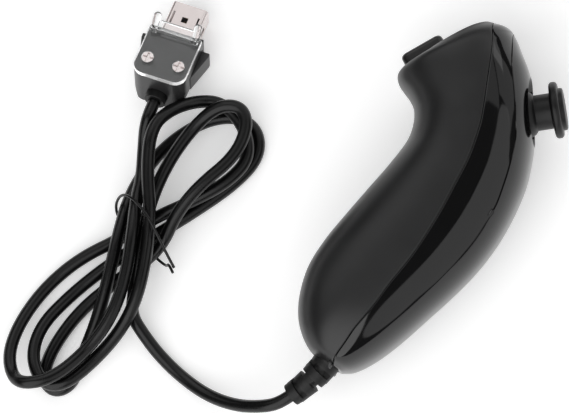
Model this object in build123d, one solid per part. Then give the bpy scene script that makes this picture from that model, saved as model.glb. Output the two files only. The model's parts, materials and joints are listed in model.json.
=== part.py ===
from build123d import *
import math
import os

# Motion controller wand lying on its side, with its cord folded into a tied hank and the plug beside it.
# Millimetres. +X is the thumb side, +Y runs along the grip towards the stick, +Z is up from the table.

# --- driving sizes of the grip ---
body_length = 112.8
body_depth = 48.4
body_width = 38.2
wall = 2.0
overrun = 1.5
seam_gap = 0.1
slide_gap = 0.35
running_fit = 0.05
seat_gap = 0.3

half_length = body_length / 2
half_depth = body_depth / 2
half_width = body_width / 2

# Fan of sections from the cord end to the head: front x, front y, back x, back y, half width, as shares of
# half the depth, length and width.
section_shares = [
    (-0.124, -1.000, -0.434, -0.982, 0.314),
    (0.000, -0.968, -0.587, -0.959, 0.534),
    (0.124, -0.910, -0.744, -0.902, 0.681),
    (0.256, -0.826, -0.876, -0.819, 0.785),
    (0.397, -0.713, -0.963, -0.709, 0.848),
    (0.562, -0.560, -1.000, -0.567, 0.874),
    (0.727, -0.404, -0.946, -0.408, 0.890),
    (0.864, -0.248, -0.835, -0.241, 0.906),
    (0.955, -0.089, -0.711, -0.071, 0.921),
    (0.996, 0.071, -0.603, 0.074, 0.942),
    (0.996, 0.230, -0.521, 0.216, 0.963),
    (0.950, 0.355, -0.533, 0.312, 0.979),
    (0.864, 0.489, -0.603, 0.387, 0.990),
    (0.752, 0.606, -0.719, 0.436, 1.000),
    (0.616, 0.707, -0.826, 0.465, 1.000),
    (0.455, 0.807, -0.905, 0.489, 1.000),
    (0.289, 0.890, -0.950, 0.518, 0.995),
    (0.161, 0.956, -0.948, 0.539, 0.974),
    (0.033, 0.998, -0.942, 0.550, 0.921),
    (-0.182, 0.991, -0.876, 0.596, 0.838),
]
section_power_share = 2.4
section_skew_share = 0.06
section_points = 16

# Seam between the two shell halves, seen from the side.
seam_shares = [
    (-0.215, 1.030),
    (-0.103, 0.922),
    (0.021, 0.833),
    (0.107, 0.745),
    (0.198, 0.608),
    (0.273, 0.491),
    (0.322, 0.390),
    (0.351, 0.230),
    (0.331, 0.085),
    (0.293, -0.103),
    (0.207, -0.332),
    (0.087, -0.521),
    (0.012, -0.660),
    (-0.091, -0.801),
    (-0.150, -0.900),
    (-0.290, -1.060),
]

# Fine crease on the glossy thumb side.
crease_shares = [
    (0.178, 0.963),
    (0.236, 0.924),
    (0.298, 0.872),
    (0.405, 0.770),
    (0.550, 0.645),
    (0.653, 0.532),
    (0.744, 0.417),
    (0.806, 0.287),
    (0.835, 0.170),
    (0.843, 0.050),
    (0.798, -0.020),
]
crease_width = 0.4
crease_depth = 0.3

# End face: the slanted face at the head that carries the two finger buttons.
nose_x_share = -0.930
nose_y_share = 0.544
end_turn = 52.93
end_crown = 0.71

z_button_length = 13.2
z_button_width = 17.0
z_button_corner = 2.0
z_button_proud = 5.1
z_button_near = 2.0
z_travel = 1.6
c_button_bore = 7.8
c_button_along = 22.3
c_button_proud = 1.8
c_button_dome = 0.7
c_travel = 1.0
button_flange = 1.2
button_flange_reach = 1.2
button_plunger_bore = 4.0

button_board_depth = 8.0
button_board_thickness = 1.2
button_board_start = 4.0
button_board_length = 23.0
button_board_width = 22.0
dome_height = 1.3
z_dome_bore = 9.0
c_dome_bore = 6.0
post_bore = 4.4
post_along = 19.2
post_side = 8.6
small_screw_bore = 1.7
small_screw_length = 5.0
small_screw_head = 3.2
small_screw_head_height = 1.2
small_screw_slot = 0.5

# Thumbstick: pivot place, lean of its axis and sizes of cap, crater and module.
pivot_x_share = 0.442
pivot_y_share = 0.537
stick_turn = 31.5
stick_swing = 17.0
cap_bore = 16.5
cap_thickness = 2.5
cap_edge = 0.9
pad_bore = 12.4
pad_thickness = 1.35
cap_height = 14.7
neck_bore = 10.4
skirt_radius = 8.1
skirt_wall = 0.9
skirt_half_angle = 48.0
crater_rim_radius = 10.5
crater_hole_radius = 8.2
crater_floor = 5.2
crater_lip = 1.8
crater_crest = 8.6
crater_wall = 2.0
shaft_bore = 4.0
shaft_foot = 3.2
hub_size = 5.0
pin_bore = 1.6
ring_size = 7.8
ring_wall = 1.0
ring_height = 2.6
yoke_inner = 5.0
yoke_outer = 6.0
yoke_width = 6.4
yoke_slot_spare = 1.8
yoke_slot_gap = 0.3
trunnion_bore = 2.4
module_size = 17.0
module_top = 1.8
module_bottom = 8.5
module_wall = 1.2
plate_top = 4.3
plate_thickness = 1.0
spring_bore = 6.0
spring_wall = 0.8
pot_length = 3.6
pot_width = 9.0
pot_top = 3.0
pot_bottom = 5.2
wiper_bore = 4.6
wiper_thickness = 0.8

main_board_thickness = 1.6
main_board_start = 14.0
main_board_end = 9.0
main_board_width = 26.0
main_post_along = 11.0
main_post_side = 10.5
chip_size = 7.0
chip_height = 1.2
sensor_size = 4.0
sensor_height = 1.5
part_length = 1.6
part_width = 0.9
part_height = 0.6
part_pitch = 3.0
connector_length = 8.0
connector_width = 4.0
connector_height = 4.5

# Screws that join the shell halves.
shell_screw_shares = [-0.560, 0.071]
wire_route_shares = [(-0.33, -0.70), (-0.20, -0.25), (-0.10, 0.071), (-0.12, 0.20)]
shell_screw_bore = 2.5
shell_screw_head = 5.2
shell_screw_head_height = 2.0
shell_screw_seat = 5.0
shell_screw_grip = 7.0
shell_screw_slot = 0.8
shell_boss_wall = 1.5
shell_pilot_wall = 2.1

# Strain relief.
boot_x_share = -0.335
boot_y_share = -0.972
boot_turn = 254.0
boot_chord_turn = 244.0
boot_dip = 4.0
boot_chord_dip = 10.0
boot_length = 14.5
boot_base_bore = 8.5
boot_end_bore = 6.8
boot_blocks = 4
boot_notch = 1.2
boot_core_bore = 5.0
boot_web = 3.0
boot_flange_bore = 11.2
boot_flange_thickness = 1.8
boot_flange_depth = 4.0

# Cord.
cord_bore = 3.8
wire_bore = 1.0
wire_count = 4
wire_pitch = 1.5

# Plug.
plug_x = -87.95
plug_y = -2.58
plug_z = 5.46
plug_heading = 4.5
plug_dip = 18.0
plug_width = 16.2
plug_height = 14.0
plug_length = 17.5
plug_taper = 1.8
plug_taper_height = 5.0
plug_corner = 3.5
plug_wall = 1.4
clear_thickness = 1.8
clear_length = 16.4
hook_width = 2.4
hook_spread = 12.6
hook_rise = 4.2
hook_reach = 4.0
hook_bar_width = 3.4
hook_bar_height = 1.6
shield_width = 11.0
shield_height = 7.6
shield_reach = 10.5
shield_inside = 8.0
shield_wall = 0.5
shield_drop = 1.7
shield_corner = 1.2
shield_window = 1.8
shield_slit = 0.5
shield_slit_length = 4.0
shield_side_window = 3.0
tongue_width = 8.6
tongue_height = 2.4
tongue_inset = 1.5
contact_width = 1.5
contact_thickness = 0.25
contact_length = 7.0
contact_pitch = 2.4
plug_screw_back = 5.6
plug_screw_side = 4.8
plug_screw_head = 3.5
plug_screw_head_height = 1.2
plug_screw_bore = 1.8
plug_screw_length = 4.0
plug_post_bore = 4.0
plug_seam = 7.0
plug_screw_slot = 0.6
release_back = 6.0
release_length = 10.0
release_height = 6.5
release_low = 3.5
release_proud = 2.4
release_travel = 1.0
release_wall = 1.2
collar_bore = 6.4
collar_length = 2.4
cord_exit_height = 5.5
collar_flange_bore = 8.0
collar_flange_thickness = 1.0
plug_front_corner = 1.0

# Twist tie.
tie_bore = 0.85


def side_point(shares):
    """Place on the side view given as shares of half depth and half length."""
    return (shares[0] * half_depth, shares[1] * half_length)


def section_wire(shares, inset):
    """Closed outline of one section of the grip, drawn in by the inset."""
    front = Vector(shares[0] * half_depth, shares[1] * half_length, 0)
    back = Vector(shares[2] * half_depth, shares[3] * half_length, 0)
    middle = (front + back) / 2
    reach = (front - back).length / 2 - inset
    along = (front - back).normalized()
    height = shares[4] * half_width - inset
    points = []
    for step in range(section_points):
        angle = 2 * math.pi * step / section_points
        cosine = math.cos(angle)
        sine = math.sin(angle)
        power = 2 / section_power_share
        forward = math.copysign(abs(cosine) ** power, cosine) * reach
        forward += section_skew_share * reach * sine * sine
        rise = math.copysign(abs(sine) ** power, sine) * height
        points.append(middle + along * forward + Vector(0, 0, rise))
    return Wire([Edge.make_spline(points, periodic=True)])


def grip_solid(inset, first, last):
    """Solid of the grip through its sections, drawn in by the inset."""
    wires = [section_wire(shares, inset) for shares in section_shares[first:last]]
    return Solid.make_loft(wires)


def side_prism(points):
    """Prism across the whole width over a closed side-view outline."""
    face = Face(Wire(points))
    deep = body_width + 2 * overrun
    return extrude(Plane.XY.offset(-deep / 2).location * face, deep)


def turned(angle):
    """Unit vector in the side view at an angle from +X."""
    return Vector(math.cos(math.radians(angle)), math.sin(math.radians(angle)), 0)


nose = Vector(nose_x_share * half_depth, nose_y_share * half_length, 0)
end_plane = Plane(origin=nose, x_dir=turned(end_turn), z_dir=turned(end_turn + 90))
pivot = Vector(pivot_x_share * half_depth, pivot_y_share * half_length, 0)
stick_plane = Plane(origin=pivot, x_dir=turned(stick_turn + 90), z_dir=turned(stick_turn))
inner_end = end_crown - wall


def placed(plane, shape):
    """Shape moved from a local frame to the frame of the grip."""
    return plane.location * shape


def block(x0, x1, y0, y1, z0, z1):
    """Box between two corners."""
    box = Box(x1 - x0, y1 - y0, z1 - z0, align=(Align.MIN, Align.MIN, Align.MIN))
    return Pos(x0, y0, z0) * box


def rod(radius, z0, z1, x=0, y=0):
    """Upright cylinder between two heights."""
    shape = Cylinder(radius, z1 - z0, align=(Align.CENTER, Align.CENTER, Align.MIN))
    return Pos(x, y, z0) * shape


def lying_rod(radius, x0, x1, y=0, z=0):
    """Cylinder along X between two places."""
    shape = Cylinder(radius, x1 - x0, align=(Align.CENTER, Align.CENTER, Align.MIN))
    return Pos(x0, y, z) * Rot(0, 90, 0) * shape


def slotted_screw(bore, length, head, head_height, slot):
    """Pan screw with its head above zero and its shank below."""
    shape = rod(head / 2, 0, head_height) + rod(bore / 2, -length, 0)
    cut = head / 2 + overrun
    depth = head_height / 2
    cross = block(-cut, cut, -slot / 2, slot / 2, depth, head_height + overrun)
    cross += block(-slot / 2, slot / 2, -cut / 2, cut / 2, depth, head_height + overrun)
    return shape - cross


def seam_x(y):
    """Seam place at a height along the grip, on straight lines between the seam points."""
    points = [side_point(shares) for shares in seam_shares]
    for (xa, ya), (xb, yb) in zip(points, points[1:]):
        if yb <= y <= ya:
            return xb + (xa - xb) * (y - yb) / (ya - yb)
    return points[0][0]


def boot_frame():
    """Arc that the strain relief follows and the frame at its foot."""
    foot = Vector(boot_x_share * half_depth, boot_y_share * half_length, 0)
    start = turned(boot_turn) * math.cos(math.radians(boot_dip))
    start += Vector(0, 0, -math.sin(math.radians(boot_dip)))
    chord = turned(boot_chord_turn) * math.cos(math.radians(boot_chord_dip))
    chord += Vector(0, 0, -math.sin(math.radians(boot_chord_dip)))
    arc = Edge.make_tangent_arc(foot, start, foot + chord * boot_length)
    return foot, start, arc


def block_plane(arc, share):
    """Frame across the strain relief at a share of its arc."""
    return Plane(origin=arc @ share, x_dir=Vector(0, 0, 1).cross(arc % share), z_dir=arc % share)


def make_strain_relief():
    """Four staggered blocks on a bending core, with a flange inside the shells."""
    foot, start, arc = boot_frame()
    block_length = (boot_length - (boot_blocks - 1) * boot_notch) / boot_blocks
    pitch = block_length + boot_notch
    root = Plane(origin=foot, x_dir=Vector(0, 0, 1).cross(start), z_dir=start)
    depth = boot_flange_depth
    shape = placed(root, rod(boot_base_bore / 2, -depth - boot_flange_thickness, boot_notch / 2))
    flange = rod(boot_flange_bore / 2, -depth - boot_flange_thickness, -depth)
    shape += placed(root, flange)
    for index in range(boot_blocks):
        middle = (index * pitch + block_length / 2) / boot_length
        plane = block_plane(arc, middle)
        near = boot_base_bore + (boot_end_bore - boot_base_bore) * index / boot_blocks
        far = boot_base_bore + (boot_end_bore - boot_base_bore) * (index + 1) / boot_blocks
        cone = Cone(near / 2, far / 2, block_length)
        shape += placed(plane, cone)
        if index < boot_blocks - 1:
            joint = ((index + 1) * pitch - boot_notch / 2) / boot_length
            gap_plane = block_plane(arc, joint)
            reach = boot_notch / 2 + boot_core_bore / 4
            core = rod(boot_core_bore / 2, -reach, reach)
            web = block(-far / 2, far / 2, -boot_web / 2, boot_web / 2, -reach, reach)
            web = web & rod(far / 2, -reach, reach)
            if index % 2:
                web = Rot(0, 0, 90) * web
            shape += placed(gap_plane, core + web)
    tip = block_plane(arc, 1 - block_length / 2 / boot_length)
    end = tip.origin + tip.z_dir * (block_length / 2)
    return shape, root, end, tip.z_dir


def make_shells():
    """Both hollow halves of the grip with their bosses, openings and seat for the strain relief."""
    outer = grip_solid(0, 0, len(section_shares))
    inner = grip_solid(wall, 2, len(section_shares))
    span = body_length
    above = block(-span, span, -span, span, inner_end, span)
    inner = inner - placed(end_plane, above)
    seam = [side_point(shares) for shares in seam_shares]
    edge = Edge.make_spline([Vector(x, y, 0) for x, y in seam])
    side = body_depth
    first = edge @ 0
    last = edge @ 1
    corner_a = Vector(side, last.Y, 0)
    corner_b = Vector(side, first.Y, 0)
    rim = [Edge.make_line(last, corner_a), Edge.make_line(corner_a, corner_b), Edge.make_line(corner_b, first)]
    front_zone = side_prism([edge] + rim)
    back_zone = Pos(-seam_gap, 0, 0) * front_zone
    thumb = (outer & front_zone) - inner
    finger = (outer - back_zone) - inner

    thumb += placed(stick_plane, crater_wall_ring()) & outer
    thumb -= placed(stick_plane, crater_cutter())
    thumb -= crease_cutter()
    back_edge = seam_gap + seat_gap
    for side_sign in (-1, 1):
        x = -main_post_along
        y = side_sign * main_post_side
        tall = rod(post_bore / 2, -module_bottom, crater_crest + overrun, x, y)
        thumb += placed(stick_plane, tall) & outer
        hole = rod(small_screw_bore / 2 + running_fit, -module_bottom - overrun,
                   -module_bottom + small_screw_length, x, y)
        thumb -= placed(stick_plane, hole)
        z = side_sign * post_side
        tall = rod(post_bore / 2, -button_board_depth, inner_end + overrun / 2, post_along, z)
        finger += placed(end_plane, tall)
        hole = rod(small_screw_bore / 2 + running_fit, -button_board_depth - overrun,
                   -button_board_depth + small_screw_length, post_along, z)
        finger -= placed(end_plane, hole)

    for share in shell_screw_shares:
        y = share * half_length
        x = seam_x(y)
        seat = x - shell_screw_seat
        boss = shell_screw_head / 2 + slide_gap + shell_boss_wall
        sleeve = lying_rod(boss, -half_depth - overrun, x - back_edge, y)
        finger += sleeve & outer
        finger -= lying_rod(shell_screw_head / 2 + slide_gap, -half_depth - overrun, seat, y)
        finger -= lying_rod(shell_screw_bore / 2 + running_fit, seat - overrun, x, y)
        pillar = lying_rod(shell_screw_bore / 2 + shell_pilot_wall, x, half_depth + overrun, y)
        thumb += pillar & outer
        thumb -= lying_rod(shell_screw_bore / 2 + running_fit, x - overrun, x + shell_screw_grip + seat_gap, y)

    finger -= placed(end_plane, z_opening())
    finger -= placed(end_plane, rod(c_button_bore / 2 + slide_gap, -wall * 2, z_button_proud, c_button_along, 0))

    strain, root, end, heading = make_strain_relief()
    pocket = rod(boot_base_bore / 2 + seat_gap / 2, -boot_flange_depth - overrun, boot_length / 2)
    pocket += rod(boot_flange_bore / 2 + seat_gap / 2, -3 * boot_flange_depth, -boot_flange_depth + seat_gap / 2)
    pocket = placed(root, pocket)
    thumb -= pocket
    finger -= pocket
    return thumb, finger, strain, end, heading


def crater_wall_ring():
    """Solid ring round the stick that becomes the wall of the crater."""
    outside = crater_rim_radius + crater_wall
    return rod(outside, crater_floor - crater_lip, crater_crest + 2 * crater_wall)


def crater_cutter():
    """Bowl with an eight-sided gate at its bottom."""
    slope = (crater_rim_radius - crater_hole_radius) / (crater_crest - crater_floor)
    top = crater_crest + 2 * crater_wall
    wide = crater_hole_radius + slope * (top - crater_floor)
    bowl = Cone(crater_hole_radius, wide, top - crater_floor, align=(Align.CENTER, Align.CENTER, Align.MIN))
    gate_height = crater_lip + 2 * overrun
    gate = extrude(RegularPolygon(crater_hole_radius, 8, major_radius=False), gate_height)
    gate = Pos(0, 0, crater_floor - crater_lip - overrun) * Rot(0, 0, 22.5) * gate
    return Pos(0, 0, crater_floor) * bowl + gate


def crease_cutter():
    """Fine groove that follows the crease over the outside of the thumb half."""
    points = [side_point(shares) for shares in crease_shares]
    near = Edge.make_spline([Vector(x, y, 0) for x, y in points])
    far = Edge.make_spline([Vector(x + crease_width, y, 0) for x, y in points])
    caps = [Edge.make_line(near @ 1, far @ 1), Edge.make_line(near @ 0, far @ 0)]
    strip = side_prism([near, caps[0], far, caps[1]])
    core = grip_solid(crease_depth, 1, len(section_shares) - 1)
    return strip - core


def z_opening():
    """Opening for the large button through the end wall."""
    gap = slide_gap
    rect = RectangleRounded(z_button_length + 2 * gap, z_button_width + 2 * gap, z_button_corner + gap)
    middle = z_button_near + z_button_length / 2
    deep = 2 * wall
    return Pos(middle, 0, inner_end - overrun) * extrude(rect, deep + z_button_proud)


def make_z_button():
    """Large sprung button, proud of the end face, with a flange behind the wall."""
    rect = RectangleRounded(z_button_length, z_button_width, z_button_corner)
    foot = inner_end - seat_gap - button_flange
    cap = extrude(rect, z_button_proud - foot)
    cap = fillet(cap.faces().sort_by(Axis.Z)[-1].edges(), z_button_corner * 0.75)
    shape = Pos(z_button_near + z_button_length / 2, 0, foot) * cap
    wide = z_button_width / 2 + button_flange_reach
    far = z_button_near + z_button_length + button_flange_reach
    near = z_button_near + z_button_corner
    shape += block(near, far, -wide, wide, foot, foot + button_flange)
    middle = z_button_near + z_button_length / 2
    tip = -button_board_depth + dome_height + z_travel + seat_gap
    shape += rod(button_plunger_bore / 2, tip, foot + button_flange / 2, middle, 0)
    return placed(end_plane, shape)


def make_c_button():
    """Small round sprung button above the large one."""
    foot = inner_end - seat_gap - button_flange
    top = c_button_proud - c_button_dome
    shape = rod(c_button_bore / 2, foot, top, c_button_along, 0)
    sag = c_button_dome
    ball = (c_button_bore * c_button_bore / 4 + sag * sag) / (2 * sag)
    dome = Pos(c_button_along, 0, c_button_proud - ball) * Sphere(ball)
    dome = dome & rod(c_button_bore / 2, top - seat_gap, c_button_proud + overrun, c_button_along, 0)
    shape += dome
    shape += rod(c_button_bore / 2 + button_flange_reach, foot, foot + button_flange, c_button_along, 0)
    tip = -button_board_depth + dome_height + c_travel + seat_gap
    shape += rod(button_plunger_bore / 2, tip, foot + button_flange / 2, c_button_along, 0)
    return placed(end_plane, shape)


def make_button_board():
    """Board behind the end face with its rubber domes and screws."""
    low = -button_board_depth - button_board_thickness
    wide = button_board_width / 2
    start = button_board_start
    board = block(start, start + button_board_length, -wide, wide, low, -button_board_depth)
    screws = []
    for side_sign in (-1, 1):
        y = side_sign * post_side
        board -= rod(small_screw_bore / 2 + running_fit, low - overrun, overrun - button_board_depth, post_along, y)
        screw = slotted_screw(small_screw_bore, small_screw_length, small_screw_head, small_screw_head_height,
                              small_screw_slot)
        screws.append(placed(end_plane, Pos(post_along, y, low) * Rot(180, 0, 0) * screw))
    domes = []
    for bore, along in ((z_dome_bore, z_button_near + z_button_length / 2), (c_dome_bore, c_button_along)):
        high = dome_height - button_board_depth
        dome = rod(bore / 2, -button_board_depth, high - dome_height / 2, along, 0)
        dome += rod(button_plunger_bore / 2, -button_board_depth, high, along, 0)
        domes.append(placed(end_plane, dome))
    return placed(end_plane, board), screws, domes


def make_stick_cap():
    """Rimmed disc with a raised pad, thick neck and the skirt that closes the crater."""
    low = cap_height - cap_thickness / 2
    disc = rod(cap_bore / 2, low, low + cap_thickness)
    disc = fillet(disc.edges(), cap_edge)
    pad = rod(pad_bore / 2, low + cap_edge, low + cap_thickness + pad_thickness)
    pad = fillet(pad.faces().sort_by(Axis.Z)[-1].edges(), pad_thickness / 2)
    neck = rod(neck_bore / 2, 0, low + cap_edge)
    ball = Sphere(skirt_radius)
    inside = Sphere(skirt_radius - skirt_wall)
    reach = cap_height
    spread = reach * math.tan(math.radians(skirt_half_angle))
    cone = Cone(0, spread, reach, align=(Align.CENTER, Align.CENTER, Align.MIN))
    skirt = (ball - inside) & cone
    shape = disc + pad + (neck - inside) + skirt
    hollow = rod(shaft_bore / 2 + running_fit, 0, cap_height)
    return placed(stick_plane, shape - hollow)


def make_stick_shaft():
    """Shaft with its cross hub and pins, held in the gimbal ring."""
    tip = rod(shaft_bore / 2, -shaft_foot, cap_height - seat_gap)
    half = hub_size / 2
    hub = block(-half, half, -half, half, -ring_height / 2, ring_height / 2)
    pins = lying_rod(pin_bore / 2, -ring_size / 2 + seat_gap, ring_size / 2 - seat_gap)
    shape = tip + hub + Rot(0, 0, 90) * pins
    return placed(stick_plane, shape)


def make_gimbal_ring():
    """Square ring hinged on the housing that carries the stick."""
    half = ring_size / 2
    inside = half - ring_wall
    high = ring_height / 2
    shape = block(-half, half, -half, half, -high, high)
    shape -= block(-inside, inside, -inside, inside, -high - overrun, high + overrun)
    shape -= Rot(0, 0, 90) * lying_rod(pin_bore / 2 + running_fit, -half - overrun, half + overrun)
    end = module_size / 2 + seat_gap
    shape += lying_rod(trunnion_bore / 2, inside + ring_wall / 2, end)
    far = -module_size / 2 - pot_length / 2 + seat_gap
    shape += lying_rod(trunnion_bore / 2, far, -inside - ring_wall / 2)
    return placed(stick_plane, shape)


def make_slotted_yoke():
    """Arched strip whose slot follows the stick across."""
    width = yoke_width / 2
    reach = yoke_outer
    arch = Rot(0, 90, 0) * (Cylinder(yoke_outer, yoke_width) - Cylinder(yoke_inner, yoke_width + overrun))
    foot = -trunnion_bore / 2 - slide_gap
    arch = arch & block(-reach, reach, -reach - overrun, reach + overrun, foot, reach + overrun)
    slot = shaft_bore / 2 + yoke_slot_gap
    lean = math.radians(stick_swing)
    long = yoke_outer * math.tan(lean) + shaft_bore / 2 / math.cos(lean) + yoke_slot_spare / 2
    arch -= block(-slot, slot, -long, long, 0, reach + overrun)
    shape = arch
    mid = (yoke_inner + yoke_outer) / 2
    end = module_size / 2 + pot_length / 2 - seat_gap
    short = module_size / 2 + seat_gap
    shape += Rot(0, 0, 90) * lying_rod(trunnion_bore / 2, mid, end)
    shape += Rot(0, 0, 90) * lying_rod(trunnion_bore / 2, -short, -mid)
    return placed(stick_plane, shape)


def make_housing():
    """Open-topped box of the stick module."""
    half = module_size / 2
    inside = half - module_wall
    shape = block(-half, half, -half, half, -module_bottom, module_top)
    shape -= block(-inside, inside, -inside, inside, module_wall - module_bottom, module_top + overrun)
    bore = trunnion_bore / 2 + running_fit
    shape -= lying_rod(bore, -half - overrun, half + overrun)
    shape -= Rot(0, 0, 90) * lying_rod(bore, -half - overrun, half + overrun)
    return placed(stick_plane, shape)


def make_spring_set():
    """Spring plate under the stick and the centring spring below it."""
    half = module_size / 2 - module_wall - slide_gap
    plate = block(-half, half, -half, half, -plate_top - plate_thickness, -plate_top)
    floor = module_wall - module_bottom
    top = -plate_top - plate_thickness
    spring = rod(spring_bore / 2, floor, top) - rod(spring_bore / 2 - spring_wall, floor - overrun, top + overrun)
    return placed(stick_plane, plate), placed(stick_plane, spring)


def make_potentiometers():
    """Two sensor bodies on the housing's sides and the wipers that ride on the trunnions."""
    half = module_size / 2
    wide = pot_width / 2
    inner_half = wiper_bore / 2 + slide_gap
    body = block(half, half + pot_length, -wide, wide, -pot_bottom, pot_top)
    chamber = lying_rod(inner_half, half - overrun, half + pot_length / 2 + wiper_thickness)
    body = body - chamber
    gap = slide_gap
    start = half + gap
    wiper = lying_rod(wiper_bore / 2, start, start + wiper_thickness)
    wiper += block(start, start + wiper_thickness, -contact_width / 2, contact_width / 2, -wiper_bore / 2, 0)
    wiper -= lying_rod(trunnion_bore / 2, start - overrun, start + wiper_thickness + overrun)
    lower_turn = Rot(0, 0, 180)
    side_turn = Rot(0, 0, 90)
    lower = (placed(stick_plane, lower_turn * body), placed(stick_plane, lower_turn * wiper))
    side = (placed(stick_plane, side_turn * body), placed(stick_plane, side_turn * wiper))
    return lower, side


def make_main_board():
    """Main board under the stick module with its chips, connector and screws."""
    top = -module_bottom
    low = top - main_board_thickness
    wide = main_board_width / 2
    board = block(-main_board_start, main_board_end, -wide, wide, low, top)
    screws = []
    for side_sign in (-1, 1):
        x = -main_post_along
        y = side_sign * main_post_side
        board -= rod(small_screw_bore / 2 + running_fit, low - overrun, top + overrun, x, y)
        screw = slotted_screw(small_screw_bore, small_screw_length, small_screw_head, small_screw_head_height,
                              small_screw_slot)
        screws.append(placed(stick_plane, Pos(x, y, low) * Rot(180, 0, 0) * screw))
    half = chip_size / 2
    chip = block(-half, half, -half, half, low - chip_height, low)
    shift = chip_size + sensor_size
    side = sensor_size / 2
    sensor = block(-side, side, -side + shift, side + shift, low - sensor_height, low)
    parts = []
    for index in range(6):
        x = main_board_end - part_pitch / 2 - (index % 3) * part_pitch
        y = -chip_size - (index // 3) * part_pitch
        parts.append(placed(stick_plane, block(x, x + part_width, y, y + part_length, low - part_height, low)))
    start = -main_board_start + part_pitch / 2
    long = connector_length / 2
    connector = block(start, start + connector_width, -long, long, low - connector_height, low)
    pieces = [placed(stick_plane, shape) for shape in (board, chip, sensor, connector)]
    mouth = []
    for index in range(wire_count):
        y = (index - (wire_count - 1) / 2) * wire_pitch
        place = Vector(start + connector_width / 2, y, low - connector_height)
        mouth.append(stick_plane.from_local_coords(place))
    return pieces, screws, parts, mouth


def rounded_path(points, share):
    """Straight runs joined by tangent arcs, each as large as its two runs allow."""
    radii = []
    for before, corner, after in zip(points, points[1:], points[2:]):
        first = corner - before
        second = after - corner
        half_turn = math.radians(first.get_angle(second)) / 2
        shorter = min(first.length, second.length)
        radii.append(share * shorter / math.tan(half_turn))
    return FilletPolyline(*points, radius=radii), radii


def tube(path, bore):
    """Round solid along a path."""
    start = path @ 0
    heading = path % 0
    profile = Plane(origin=start, z_dir=heading) * Circle(bore / 2)
    return sweep(profile, path=path)


arc_share = 0.45

# Where the hank is tied, and the stations its loops run through: place from the tie, height above the
# table, heading and climb in degrees. Chosen from the side view of the bundle as it lies.
tie_x = -77.7
tie_y = -36.7
hank_stations = [
    (-4.7, 10.4, 8.7, -72, 0),
    (-1.3, -0.6, 12.6, -69, 0),
    (3.9, -21.0, 11.9, -84, 0),
    (1.3, -40.8, 9.4, -113, 0),
    (-8.8, -56.1, 11.5, -153, 0),
    (-19.0, -51.8, 6.4, 116, 0),
    (-19.0, -29.5, 2.6, 76, 0),
    (-1.8, -2.8, 3.0, 51, 0),
    (4.6, 4.9, 5.3, 50, 0),
    (15.2, 16.2, 6.6, 56, 0),
    (19.8, 32.3, 6.6, 119, 0),
    (4.3, 40.7, 6.7, -168, 0),
    (-3.3, 34.2, 11.2, -133, 25),
    (-6.1, 25.8, 15.2, -88, 0),
    (3.1, 1.1, 13.4, -68, 0),
    (8.2, -17.3, 11.2, -80, 0),
    (4.9, -40.0, 6.2, -113, 0),
    (-3.5, -53.7, 6.9, -153, 0),
    (-13.0, -48.4, 5.8, 118, 0),
    (-11.2, -27.6, 2.0, 69, 0),
    (1.3, -6.5, 2.9, 57, 0),
    (18.0, 18.8, 2.2, 61, 0),
    (21.1, 35.8, 2.0, 118, 0),
    (6.9, 37.4, 2.0, -143, 0),
    (-3.7, 23.1, 2.2, -112, 0),
    (-6.4, 10.5, 3.9, -95, 0),
    (-4.8, -4.1, 7.7, -79, 0),
    (-1.5, -22.2, 6.9, -80, 0),
    (-0.5, -42.4, 2.0, -91, 0),
    (-1.4, -53.1, 2.0, -134, 0),
    (-5.4, -54.5, 2.0, 170, 0),
    (-8.8, -51.3, 2.0, 104, 0),
    (-7.3, -33.1, 2.0, 74, 0),
    (4.4, -10.6, 2.9, 59, 0),
    (8.6, -1.0, 7.2, 81, 0),
    (10.8, 11.6, 11.0, 67, 0),
    (17.3, 38.1, 11.5, 112, 0),
    (11.1, 41.0, 11.6, -155, 0),
    (2.8, 30.1, 8.2, -107, 0),
    (1.6, 0.2, 8.85, -79, 0),
    (6.0, -17.9, 6.9, -75, -15),
]

# Lead from the strain relief to the hank: its corners between the two ends, as chosen.
lead_corners = [
    (-21.2, -73.6, 13.3),
    (-29.2, -75.8, 8.4),
    (-39.0, -75.9, 4.2),
    (-48.8, -73.6, 2.0),
    (-57.4, -70.3, 2.1),
    (-64.0, -66.6, 3.6),
]
lead_first_run = 4.2
lead_last_run = 5.0

# Lead from the plug to the hank.
plug_lead_corners = [
    (-87.2, -10.9, 11.7),
    (-86.2, -14.9, 9.4),
]
plug_lead_first_run = 3.9
plug_lead_last_run = 4.5


def heading_vector(turn, climb):
    """Unit vector at a heading and a climb."""
    flat = math.cos(math.radians(climb))
    return Vector(math.cos(math.radians(turn)) * flat, math.sin(math.radians(turn)) * flat,
                  math.sin(math.radians(climb)))


def biarc_joint(p0, t0, p1, t1):
    """Meeting point of the two arcs that join two places with given headings."""
    v = p1 - p0
    total = t0 + t1
    spare = 2 * (1 - t0.dot(t1))
    if spare < 1e-6:
        reach = v.dot(v) / (4 * v.dot(t0))
    else:
        reach = (-v.dot(total) + math.sqrt(v.dot(total) ** 2 + spare * v.dot(v))) / spare
    return (p0 + p1 + (t0 - t1) * reach) / 2


def hank_edges():
    """Edges of the hank: a straight end, two arcs between each two stations and a straight end."""
    places = []
    for x, y, z, turn, climb in hank_stations:
        places.append((Vector(tie_x + x, tie_y + y, z), heading_vector(turn, climb)))
    first, heading = places[0]
    edges = [Edge.make_line(first - heading * cord_bore, first)]
    for (p0, t0), (p1, t1) in zip(places, places[1:]):
        joint = biarc_joint(p0, t0, p1, t1)
        near = Edge.make_tangent_arc(p0, t0, joint)
        far = Edge.make_tangent_arc(joint, near % 1, p1)
        edges.extend([near, far])
    last, heading = places[-1]
    edges.append(Edge.make_line(last, last + heading * cord_bore))
    return edges


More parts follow.
